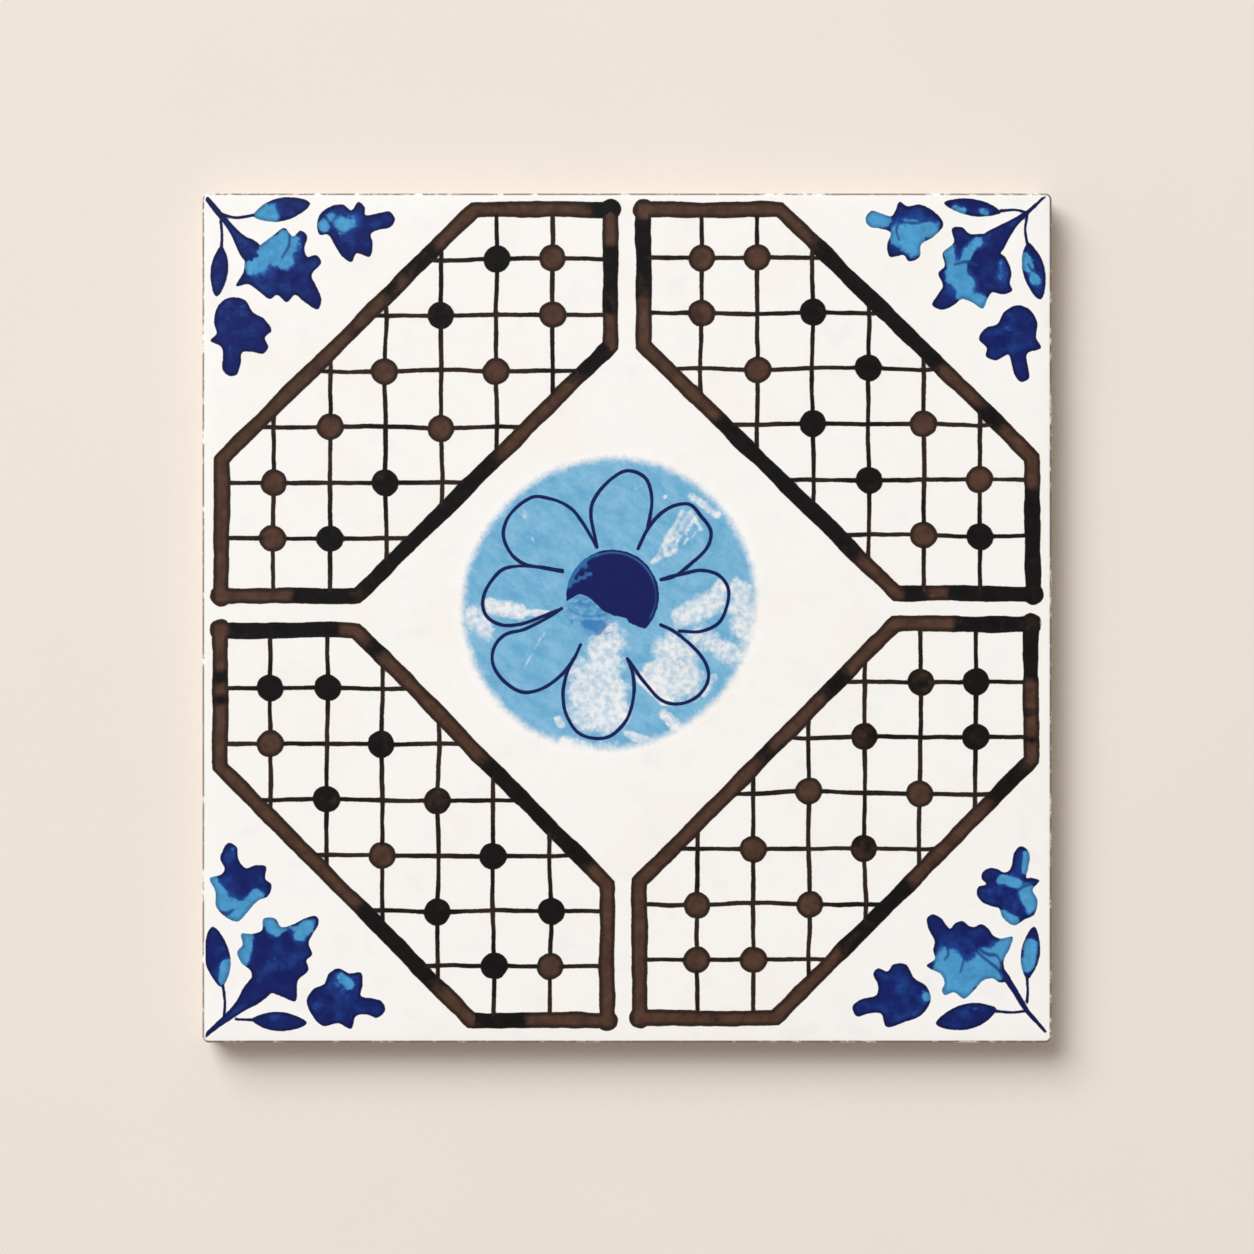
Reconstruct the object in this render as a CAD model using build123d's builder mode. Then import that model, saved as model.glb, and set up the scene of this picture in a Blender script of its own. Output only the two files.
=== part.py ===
from build123d import *
import os

# One pressed and fired porcelain tile, lying glazed face up on its back.
# Millimetres. The origin is the centre of the back, +Z points out of the glazed face,
# and +Y is the way up of the print.

# Overall size
tile_width = 200.0
tile_length = 200.0
tile_thickness = 9.0

# Edges
corner_radius = 1.5
face_edge_radius = 0.8
skirt_height = 3.0
skirt_draft = 8.0

# Keying relief pressed into the back
back_margin = 9.5
rib_width = 3.0
pocket_pitch = 23.0
pocket_depth = 0.8
pocket_corner_radius = 2.5
pocket_draft = 30.0


def even_count(span, pitch):
    """The even number of pockets nearest this pitch, so that two ribs cross at the centre."""
    return 2 * max(1, round(span / pitch / 2))


def spacing(span, count):
    """Centre distance of pockets whose outer walls just fill the span."""
    return (span + rib_width) / count


field_width = tile_width - 2 * back_margin
field_length = tile_length - 2 * back_margin
pockets_across = even_count(field_width, pocket_pitch)
pockets_along = even_count(field_length, pocket_pitch)
spacing_across = spacing(field_width, pockets_across)
spacing_along = spacing(field_length, pockets_along)

with BuildPart() as tile:
    # The upper part of the side wall is upright, where neighbouring tiles butt.
    with BuildSketch(Plane.XY.offset(skirt_height)) as outline:
        RectangleRounded(tile_width, tile_length, corner_radius)
    extrude(amount=tile_thickness - skirt_height)
    # The skirt below it draws in towards the back, so that the tile leaves its press die.
    extrude(outline.sketch, amount=-skirt_height, taper=skirt_draft)
    # The arris round the glazed face is softened.
    fillet(tile.edges().group_by(Axis.Z)[-1], radius=face_edge_radius)
    # Shallow drafted pockets leave a closed border and crossing ribs, which the tile lies on.
    with BuildSketch(Plane.XY) as pocket_mouths:
        with GridLocations(spacing_across, spacing_along, pockets_across, pockets_along):
            RectangleRounded(
                spacing_across - rib_width,
                spacing_along - rib_width,
                pocket_corner_radius,
            )
    extrude(amount=pocket_depth, taper=pocket_draft, mode=Mode.SUBTRACT)

os.makedirs("parts", exist_ok=True)
tile.part.label = "tile"
export_step(tile.part, "parts/tile.step")
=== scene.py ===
"""Presses, prints and fires a glazed porcelain tile around its packed frame, and sets the stage.

Drawing sizes are millimetres on the tile's face: the origin is the middle of the face, +X
is right and +Y is the way up of the print. Blender's own lengths are metres.
"""

import math
from types import SimpleNamespace

import bpy
import numpy as np
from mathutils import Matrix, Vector, kdtree, noise
from mathutils.geometry import delaunay_2d_cdt


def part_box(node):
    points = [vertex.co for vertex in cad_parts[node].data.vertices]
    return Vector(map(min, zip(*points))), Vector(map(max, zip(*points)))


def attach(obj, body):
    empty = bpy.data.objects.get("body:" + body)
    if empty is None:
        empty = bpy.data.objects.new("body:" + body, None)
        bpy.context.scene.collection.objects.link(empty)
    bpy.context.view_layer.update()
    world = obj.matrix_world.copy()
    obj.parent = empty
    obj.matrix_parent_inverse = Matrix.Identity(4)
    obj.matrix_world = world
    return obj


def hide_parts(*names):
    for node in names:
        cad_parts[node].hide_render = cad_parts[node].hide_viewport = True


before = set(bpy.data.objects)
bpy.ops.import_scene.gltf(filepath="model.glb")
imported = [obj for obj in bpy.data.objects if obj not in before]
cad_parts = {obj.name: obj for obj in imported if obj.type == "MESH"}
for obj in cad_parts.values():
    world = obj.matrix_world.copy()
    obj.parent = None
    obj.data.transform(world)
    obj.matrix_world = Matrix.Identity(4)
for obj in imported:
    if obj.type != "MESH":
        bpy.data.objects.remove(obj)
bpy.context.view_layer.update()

bl_info = {
    "name": "Porcelain Tile",
    "version": (1, 0, 0),
    "blender": (4, 5, 0),
    "location": "3D View > Sidebar > Porcelain",
    "description": "A pressed, printed and glazed porcelain tile",
    "category": "Object",
}

MM = 0.001
PIECE = "porcelain_tile"
NODE = "tile"
BODY = "root"

low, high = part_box(NODE)
HALF_WIDTH = (high.x - low.x) / 2 / MM
HALF_LENGTH = (high.y - low.y) / 2 / MM
THICKNESS = (high.z - low.z) / MM

# The picture's side, how much of it the tile fills and how far above its centre, in pixels
PICTURE_SIDE = 1254.0
TILE_SIDE = 850.0
TILE_RISE = 9.0


# Settings


def from_bytes(red, green, blue):
    """The linear colour of these 0 to 255 screen values."""
    parts = (c / 255 for c in (red, green, blue))
    return tuple(c / 12.92 if c <= 0.04045 else ((c + 0.055) / 1.055) ** 2.4 for c in parts)


def length(name, description, millimetres):
    """A length property. Its default is given in millimetres."""
    return bpy.props.FloatProperty(
        name=name,
        description=description,
        default=millimetres * MM,
        min=0.0,
        precision=5,
        unit="LENGTH",
    )


def colour(name, description, *screen_values):
    """A colour property. Its default is given as 0 to 255 screen values."""
    return bpy.props.FloatVectorProperty(
        name=name,
        description=description,
        default=from_bytes(*screen_values),
        min=0.0,
        max=1.0,
        subtype="COLOR",
    )


def share(name, description, default):
    """A property between nothing and all."""
    return bpy.props.FloatProperty(
        name=name, description=description, default=default, min=0.0, max=1.0, subtype="FACTOR"
    )


def in_mm(group):
    """The values of a property group, with its lengths in millimetres."""
    found = {}
    for name, prop in group.bl_rna.properties.items():
        if name in ("rna_type", "name"):
            continue
        value = getattr(group, name)
        found[name] = value / MM if getattr(prop, "unit", "") == "LENGTH" else value
    return SimpleNamespace(**found)


class TilePressing(bpy.types.PropertyGroup):
    """Sizes of the pressed body. They match the frame's own solid."""

    corner_radius: length("Corner radius", "Rounding of the tile's corners in plan", 1.5)
    arris_radius: length("Arris radius", "Softening of the edge round the face", 0.8)
    skirt_height: length("Skirt height", "Height of the drafted part of the side", 3.0)
    skirt_inset: length("Skirt inset", "How far the skirt draws in at the back", 0.42)
    back_margin: length("Back margin", "Plain border round the pockets", 9.5)
    rib_width: length("Rib width", "Width of the ribs between the pockets", 3.0)
    pocket_depth: length("Pocket depth", "Depth of the pockets in the back", 0.8)
    pocket_corner: length("Pocket corner", "Corner radius of a pocket", 2.5)
    pocket_inset: length("Pocket inset", "How far a pocket's wall leans in", 0.46)
    pockets: bpy.props.IntProperty(
        name="Pockets", description="Pockets along each side of the back", default=8, min=2
    )
    face_fall: length("Face fall", "How far the glaze falls at the edge of the face", 0.1)
    face_wave: length("Face wave", "Height of the slow waves in the glaze", 0.03)


class GlazeFinish(bpy.types.PropertyGroup):
    """Colours and gloss of the glaze and of the bare body."""

    glaze: colour("Glaze", "Warm white of the glaze", 250, 247, 245)
    cream: colour("Cream", "Cream clouds in the glaze", 248, 241, 234)
    grey: colour("Grey", "Cool grey clouds in the glaze", 241, 241, 239)
    body: colour("Body", "Bare porcelain of the skirt and back", 206, 197, 184)
    dust: colour("Dust", "Grime in the worn arris and the back", 98, 84, 74)
    roughness: share("Roughness", "Roughness of the satin glaze", 0.32)


class TrellisPrint(bpy.types.PropertyGroup):
    """The four trellis panels."""

    leg: length("Leg", "Length of a panel's straight sides", 32.0)
    band: length("Band", "Width of the band round a panel", 3.8)
    line: length("Line", "Width of a lattice line", 1.1)
    pitch: length("Pitch", "Distance between lattice lines", 13.1)
    first_line: length("First line", "From a panel's band to its first line", 13.6)
    dot: length("Dot", "Diameter of a dot", 6.45)
    stray: length("Stray", "How far the hand strays from the rule", 0.3)
    brown: colour("Brown", "Manganese brown", 79, 55, 44)
    black: colour("Black", "Nearly black second coat of the brown", 18, 16, 16)


class SprigPrint(bpy.types.PropertyGroup):
    """The flower sprigs in the corners."""

    navy: colour("Navy", "Full cobalt wash", 18, 30, 96)
    cobalt: colour("Cobalt", "Middle cobalt wash", 32, 74, 152)
    sky: colour("Sky", "Thin cobalt wash", 74, 150, 199)
    rim: colour("Rim", "Cobalt gathered at the rims", 11, 20, 68)


class MedallionPrint(bpy.types.PropertyGroup):
    """The daisy on its sponged disc."""

    disc_radius: length("Disc radius", "Radius of the sponged disc", 34.1)
    eye_radius: length("Eye radius", "Radius of the daisy's eye", 10.9)
    outline: length("Outline", "Width of the daisy's outline", 0.86)
    disc: colour("Disc", "Sponged light blue", 136, 189, 220)
    deep: colour("Deep", "Thicker places in the sponged blue", 97, 165, 206)
    line: colour("Line", "Navy of the outline", 16, 28, 84)
    eye: colour("Eye", "Navy of the eye", 18, 26, 90)
    smear: colour("Smear", "Navy of the eye, smeared thin", 54, 120, 182)


class TileStage(bpy.types.PropertyGroup):
    """Ground, lights and camera."""

    ground: colour("Ground", "Pale ground under the tile", 234, 224, 215)
    key: bpy.props.FloatProperty(
        name="Key", description="Power of the soft key light", default=484.0, min=0.0, unit="POWER"
    )
    sky: share("Sky", "Strength of the even light from all round", 0.445)
    lens: bpy.props.FloatProperty(
        name="Lens", description="Focal length", default=100.0, min=10.0, unit="CAMERA"
    )


SETTINGS = {
    "tile_pressing": TilePressing,
    "tile_glaze": GlazeFinish,
    "tile_trellis": TrellisPrint,
    "tile_sprigs": SprigPrint,
    "tile_medallion": MedallionPrint,
    "tile_stage": TileStage,
}


# Lines and shapes

FAR = 3.0  # distances to ink are kept within this, mm
MARGIN = 0.35  # the mesh follows an ink edge this far outside it, mm
RIM = 0.5  # and this far inside it, mm

# Distance between the points along each kind of line, mm
STEPS = {
    "band": 1.2,
    "lattice": 1.4,
    "stem": 0.8,
    "flower": 0.6,
    "petal": 1.0,
    "eye": 0.8,
    "ghost": 0.7,
}

# Where each kind of line starts to count its seeds
SEEDS = {"panel": 11.0, "petal": 60.0, "outline": 70.0, "dab": 80.0, "disc": 5.0}


def smooth_line(points, step, closed=False):
    """Points every step along a smooth line through these. Columns past x and y ride along."""
    points = np.array(points, float)
    if closed:
        ring = np.vstack([points[-1:], points, points[:2]])
    else:
        ring = np.vstack([2 * points[0] - points[1], points, 2 * points[-1] - points[-2]])
    found = []
    for a, b, c, d in zip(ring, ring[1:], ring[2:], ring[3:]):
        first, middle, last = (
            max(math.dist(p[:2], q[:2]), 1e-6) ** 0.5 for p, q in ((a, b), (b, c), (c, d))
        )
        leaving = (b - a) / first - (c - a) / (first + middle) + (c - b) / middle
        arriving = (c - b) / middle - (d - b) / (middle + last) + (d - c) / last
        leaving, arriving = leaving * middle, arriving * middle
        count = max(1, math.ceil(math.dist(b[:2], c[:2]) / step))
        for t in np.arange(count) / count:
            found.append(
                b * (2 * t**3 - 3 * t**2 + 1)
                + leaving * (t**3 - 2 * t**2 + t)
                + c * (3 * t**2 - 2 * t**3)
                + arriving * (t**3 - t**2)
            )
    if not closed:
        found.append(points[-1])
    return np.array(found)


def toneless(line):
    """The line with a zero added to each point."""
    return np.column_stack([line, np.zeros(len(line))])


NOISE_SPAN = 1.6  # brings Blender's noise to about -1 to 1
SEED_STEP = 3.7  # seeds this far apart in the noise give unlike tremors


def tremor(line, wave, seed):
    """A number from about -1 to 1 at each point, which changes over the given distance."""
    height = seed * SEED_STEP
    found = [noise.noise((x / wave, y / wave, height)) for x, y in line[:, :2]]
    return np.array(found) * NOISE_SPAN


def across(line, closed):
    """Unit vectors square to the line, to its left."""
    places = line[:, :2]
    if closed:
        along = np.roll(places, -1, 0) - np.roll(places, 1, 0)
    else:
        along = np.gradient(places, axis=0)
    along = along / np.maximum(np.linalg.norm(along, axis=1), 1e-9)[:, None]
    return np.stack([-along[:, 1], along[:, 0]], 1)


def strayed(line, reach, wave, seed, closed=False):
    """The line, moved across itself by a slow hand tremor."""
    moved = line.copy()
    moved[:, :2] += across(line, closed) * tremor(line, wave, seed)[:, None] * reach
    return moved


def clockwise(line):
    """The closed line, turned if need be so that its left side is its outside."""
    x, y = line[:, 0], line[:, 1]
    area = (x * np.roll(y, -1) - np.roll(x, -1) * y).sum()
    return line if area < 0 else line[::-1]


def to_segments(spots, start, end):
    """Each spot's share along each segment and its distance from it."""
    run = end - start
    away = spots[:, None] - start[None]
    t = np.clip((away * run).sum(2) / np.maximum((run**2).sum(1), 1e-12), 0, 1)
    return t, np.linalg.norm(away - t[..., None] * run, axis=2)


class Stroke:
    """A brush line: x, y, half width and tone at each point of its centre line."""

    def __init__(self, line, closed=False):
        self.line, self.closed = line, closed

    def reach(self):
        """How far the ink reaches from its line."""
        return self.line[:, 2].max()

    def guides(self):
        """Lines for the mesh to follow: the centre, both edges and beside them."""
        square = across(self.line, self.closed)
        places, half = self.line[:, :2], self.line[:, 2:3]
        found = [(places, self.closed)]
        for offset in (half + MARGIN, half, np.maximum(half - RIM, 0.0)):
            if offset.max() < RIM / 4:
                continue
            left, right = places + square * offset, places - square * offset
            if self.closed:
                found += [(left, True), (right, True)]
            else:
                end, start = self.cap(-1, -2, offset), self.cap(0, 1, offset)
                found.append((np.vstack([left, end, right[::-1], start]), True))
        return found

    def cap(self, tip, near, offset, steps=4):
        """The round end of an open stroke at one offset."""
        centre = self.line[tip, :2]
        out = (centre - self.line[near, :2]) / max(math.dist(centre, self.line[near, :2]), 1e-9)
        side = np.array([-out[1], out[0]])
        turns = np.linspace(0, math.pi, steps + 2)[1:-1, None]
        return centre + float(offset[tip, 0]) * (np.cos(turns) * side + np.sin(turns) * out)

    def sample(self, spots):
        """How far inside the stroke each spot lies, and the stroke's tone there."""
        start = self.line if self.closed else self.line[:-1]
        end = np.roll(self.line, -1, 0) if self.closed else self.line[1:]
        t, gap = to_segments(spots, start[:, :2], end[:, :2])
        inside = start[:, 2] + t * (end[:, 2] - start[:, 2]) - gap
        best, row = inside.argmax(1), np.arange(len(spots))
        tone = start[best, 3] + t[row, best] * (end[best, 3] - start[best, 3])
        return inside[row, best], tone


class Patch:
    """A filled shape inside a closed outline. Its tone is even or comes from soft blots."""

    def __init__(self, outline, tone=0.0, blots=()):
        self.line, self.tone, self.blots = clockwise(outline[:, :2]), tone, blots

    def reach(self):
        return 0.0

    def guides(self):
        """Lines for the mesh to follow: the outline and beside it."""
        square = across(self.line, True)
        return [(self.line + square * offset, True) for offset in (MARGIN, 0.0, -RIM)]

    def sample(self, spots):
        """How far inside the outline each spot lies, and the patch's tone there."""
        start, end = self.line, np.roll(self.line, -1, 0)
        gap = to_segments(spots, start, end)[1].min(1)
        x, y = spots[:, None, 0], spots[:, None, 1]
        spans = (start[:, 1] > y) != (end[:, 1] > y)
        rise = end[:, 1] - start[:, 1]
        rise = np.where(np.abs(rise) < 1e-12, 1e-12, rise)
        crossing = start[:, 0] + (y - start[:, 1]) / rise * (end[:, 0] - start[:, 0])
        inside = (spans & (x < crossing)).sum(1) % 2 == 1
        return np.where(inside, gap, -gap), blotted(spots, self.blots, self.tone)


def blotted(spots, blots, start=0.0):
    """How strongly soft blots cover each spot.

    A blot is (x, y, radius, strength), or (x, y, x2, y2, radius, strength) where it is long.
    It is at half its strength one radius away.
    """
    found = np.full(len(spots), float(start))
    for *ends, radius, strength in blots:
        one, other = np.array(ends[:2]), np.array(ends[-2:])
        gap = to_segments(spots, one[None], other[None])[1][:, 0]
        found = np.maximum(found, strength * np.clip(1.5 - gap / radius, 0, 1))
    return found


def sampled(shapes, spots):
    """How far inside the nearest of the shapes each spot lies, and that shape's tone."""
    at_once = 4000
    best, tone = np.full(len(spots), -FAR), np.zeros(len(spots))
    for shape in shapes:
        room = shape.reach() + FAR
        start, end = shape.line[:, :2].min(0) - room, shape.line[:, :2].max(0) + room
        near = np.flatnonzero(((spots > start) & (spots < end)).all(1))
        for where in np.array_split(near, len(near) // at_once + 1):
            if not len(where):
                continue
            inside, own = shape.sample(spots[where])
            wins = inside > best[where]
            best[where[wins]], tone[where[wins]] = inside[wins], own[wins]
    return np.minimum(best, FAR), tone


def round_patch(centre, radius, seed, tone=0.0, stray=0.1, steps=26):
    """A round dab of the brush, not quite a circle."""
    turns = np.linspace(0, 2 * math.pi, steps, endpoint=False)
    rim = np.stack([np.cos(turns), np.sin(turns)], 1)
    wide = radius * (1 + 0.02 * np.cos(2 * turns + seed)) + stray * tremor(rim * 3, 1.6, seed)
    return Patch(rim * wide[:, None] + centre, tone)


# The trellis panels

# A panel's right-angled corners lie at (inner x, outer y) and (outer x, inner y), mm from
# the middle of the tile. Dark stretches are shares of a side: side 0 runs out from the
# corner beside the tile's upright middle line, and the others follow round. Dark dots are
# (row, column), counted outwards from the middle of the tile. Darkness runs from 0 to 1.
PANELS = [
    {
        "side": (-1, 1),
        "inner": (3.9, 5.2),
        "outer": (95.5, 96.1),
        "dark_sides": {
            0: [(-0.05, 0.17)],
            1: [(0.14, 0.27), (0.316, 0.334), (0.466, 0.482)],
            3: [(0.53, 1.05)],
            4: [(-0.05, 0.56), (0.86, 1.0)],
            5: [(0.22, 0.75)],
        },
        "dark_dots": {(6, 2): 1.0, (5, 3): 0.7, (2, 4): 1.0, (1, 5): 1.0},
    },
    {
        "side": (1, 1),
        "inner": (3.9, 5.8),
        "outer": (95.4, 96.1),
        "dark_sides": {
            1: [(0.14, 0.65), (0.78, 0.875)],
            2: [(0.23, 1.05)],
            3: [(-0.05, 0.62), (0.76, 0.95)],
            4: [(0.14, 0.71)],
            5: [(0.34, 0.93)],
        },
        "dark_dots": {(5, 3): 1.0, (4, 4): 1.0, (3, 3): 1.0, (2, 4): 1.0, (1, 6): 1.0},
    },
    {
        "side": (-1, -1),
        "inner": (4.7, 2.9),
        "outer": (95.7, 94.7),
        "dark_sides": {
            0: [(0.58, 1.02)],
            1: [(0.13, 0.45)],
            2: [(0.46, 0.51), (0.62, 0.70)],
            3: [(0.06, 0.87)],
            4: [(0.05, 0.10), (0.51, 0.93)],
        },
        "dark_dots": {(1, 6): 1.0, (1, 5): 1.0, (2, 4): 1.0, (3, 5): 1.0, (4, 2): 1.0,
                      (5, 3): 1.0, (5, 1): 1.0, (6, 2): 1.0, (3, 3): 0.6},
    },
    {
        "side": (1, -1),
        "inner": (3.0, 1.4),
        "outer": (95.1, 94.1),
        "dark_sides": {
            1: [(0.25, 0.53), (0.84, 1.0)],
            2: [(0.14, 0.17), (0.33, 0.37), (0.6, 1.02)],
            3: [(-0.02, 0.58)],
            4: [(0.19, 0.26), (0.48, 0.53)],
        },
        "dark_dots": {(1, 6): 1.0, (1, 5): 0.6, (2, 6): 1.0, (2, 4): 0.6, (4, 4): 0.6},
    },
]
LATTICE_LINES = 6


def panel_corners(panel, sizes):
    """The six corners of a panel's band, from the one beside the upright middle line round."""
    (inner_x, inner_y), (outer_x, outer_y) = panel["inner"], panel["outer"]
    plain = [
        (inner_x, outer_y),
        (inner_x + sizes.leg, outer_y),
        (outer_x, inner_y + sizes.leg),
        (outer_x, inner_y),
        (outer_x - sizes.leg, inner_y),
        (inner_x, outer_y - sizes.leg),
    ]
    return np.array(plain) * panel["side"]


def darkness(along, stretches, soft=0.07):
    """How dark a side is at this share of it, with soft ends to each stretch."""
    depths = [min(along - start, end - along) for start, end in stretches]
    return min(1.0, max(0.0, 0.5 + max(depths, default=-1.0) / soft))


def panel_band(panel, corners, seed, sizes):
    """The band round a panel: one closed stroke with a wandering edge."""
    points = []
    for side, start in enumerate(corners):
        end = corners[(side + 1) % len(corners)]
        count = round(math.dist(start, end) / STEPS["band"])
        for along in np.arange(count) / count:
            dark = darkness(along, panel["dark_sides"].get(side, ()))
            points.append([*(start + (end - start) * along), sizes.band / 2, dark])
    line = strayed(np.array(points), sizes.stray * 0.6, 9.0, seed, closed=True)
    # The band's width wavers slowly, and a little quickly.
    line[:, 2] += 0.14 * tremor(line, 5.0, seed + 1) + 0.07 * tremor(line, 2.0, seed + 2)
    return Stroke(line, closed=True)


def lattice_crossing(panel, row, column, seed, sizes):
    """Where two lattice lines meet, never quite on the rule, before the panel is mirrored."""
    stray = sizes.stray * 2.1
    x = panel["inner"][0] + sizes.first_line + sizes.pitch * (column - 1)
    y = panel["inner"][1] + sizes.first_line + sizes.pitch * (row - 1)
    return (
        x + stray * noise.noise((row * 1.31, column * 1.73, seed)),
        y + stray * noise.noise((row * 1.57, column * 1.19, seed + 40)),
    )


def lattice_ends(panel, place, axis, sizes):
    """Where a line at this place across a panel meets its band, at both ends."""
    other = 1 - axis
    inner, outer = panel["inner"], panel["outer"]
    slope = (outer[other] - sizes.leg - inner[other]) / (outer[axis] - sizes.leg - inner[axis])
    start = outer[other] - sizes.leg - (place - inner[axis]) * slope
    end = outer[other] - (place - sizes.leg - inner[axis]) * slope
    return max(start, inner[other]), min(end, outer[other])


def lattice_line(panel, number, axis, seed, sizes):
    """One line of a panel's lattice, through its crossings and from band to band."""
    crossings = [
        lattice_crossing(panel, *((k, number) if axis == 0 else (number, k)), seed, sizes)
        for k in range(1, LATTICE_LINES + 1)
    ]
    place = float(np.mean([crossing[axis] for crossing in crossings]))
    start, end = lattice_ends(panel, place, axis, sizes)
    inside = [c for c in crossings if start + 2 < c[1 - axis] < end - 2]
    ends = [(place, start), (place, end)] if axis == 0 else [(start, place), (end, place)]
    points = np.array([ends[0], *inside, ends[1]]) * panel["side"]
    points = np.column_stack([points, np.zeros((len(points), 2))])
    line = smooth_line(points, STEPS["lattice"])
    seed += number + 20 * axis
    line = strayed(line, 0.1, 4.0, seed)
    line[:, 2] = sizes.line / 2 + 0.06 * tremor(line, 6.0, seed + 3)
    line[:, 3] = np.clip(0.36 + 0.5 * tremor(line, 14.0, seed + 4), 0.1, 1)
    return line


def lattice_dots(panel, seed, sizes):
    """Dots ring the panel's long diagonal: on the crossings beside it and at its two ends."""
    found = []
    middle = LATTICE_LINES + 1
    for row in range(1, middle):
        for column in range(1, middle):
            beside = abs(row + column - middle) == 1
            at_end = {row, column} == {1, LATTICE_LINES}
            if beside or at_end:
                place = lattice_crossing(panel, row, column, seed, sizes)
                tone = panel["dark_dots"].get((row, column), 0.0)
                found.append((np.array(place) * panel["side"], tone, seed + row * 9 + column))
    return found


BLOB_SHARE = 0.68  # radius of a corner blob as a share of the band's width
DARKENING = 1.2  # black dots darken the lattice this many diameters round them


def trellis_shapes(sizes):
    """All the brown and black ink: bands, corner blobs, lattice lines and dots."""
    shapes = []
    for index, panel in enumerate(PANELS):
        seed = SEEDS["panel"] + 7 * index
        corners = panel_corners(panel, sizes)
        band = panel_band(panel, corners, seed, sizes)
        shapes.append(band)
        for number in (0, 3):
            nearest = np.linalg.norm(band.line[:, :2] - corners[number], axis=1).argmin()
            x, y, _, tone = band.line[nearest]
            shapes.append(round_patch((x, y), sizes.band * BLOB_SHARE, seed + number, tone))
        dots = lattice_dots(panel, seed, sizes)
        near = [(*place, sizes.dot * DARKENING, 1.0) for place, tone, _ in dots if tone > 0.8]
        for number in range(1, LATTICE_LINES + 1):
            for axis in (0, 1):
                line = lattice_line(panel, number, axis, seed, sizes)
                line[:, 3] = np.maximum(line[:, 3], blotted(line[:, :2], near))
                shapes.append(Stroke(line))
        for place, tone, dot_seed in dots:
            shapes.append(round_patch(place, sizes.dot / 2, dot_seed, tone))
    return shapes


# The corner sprigs

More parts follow.
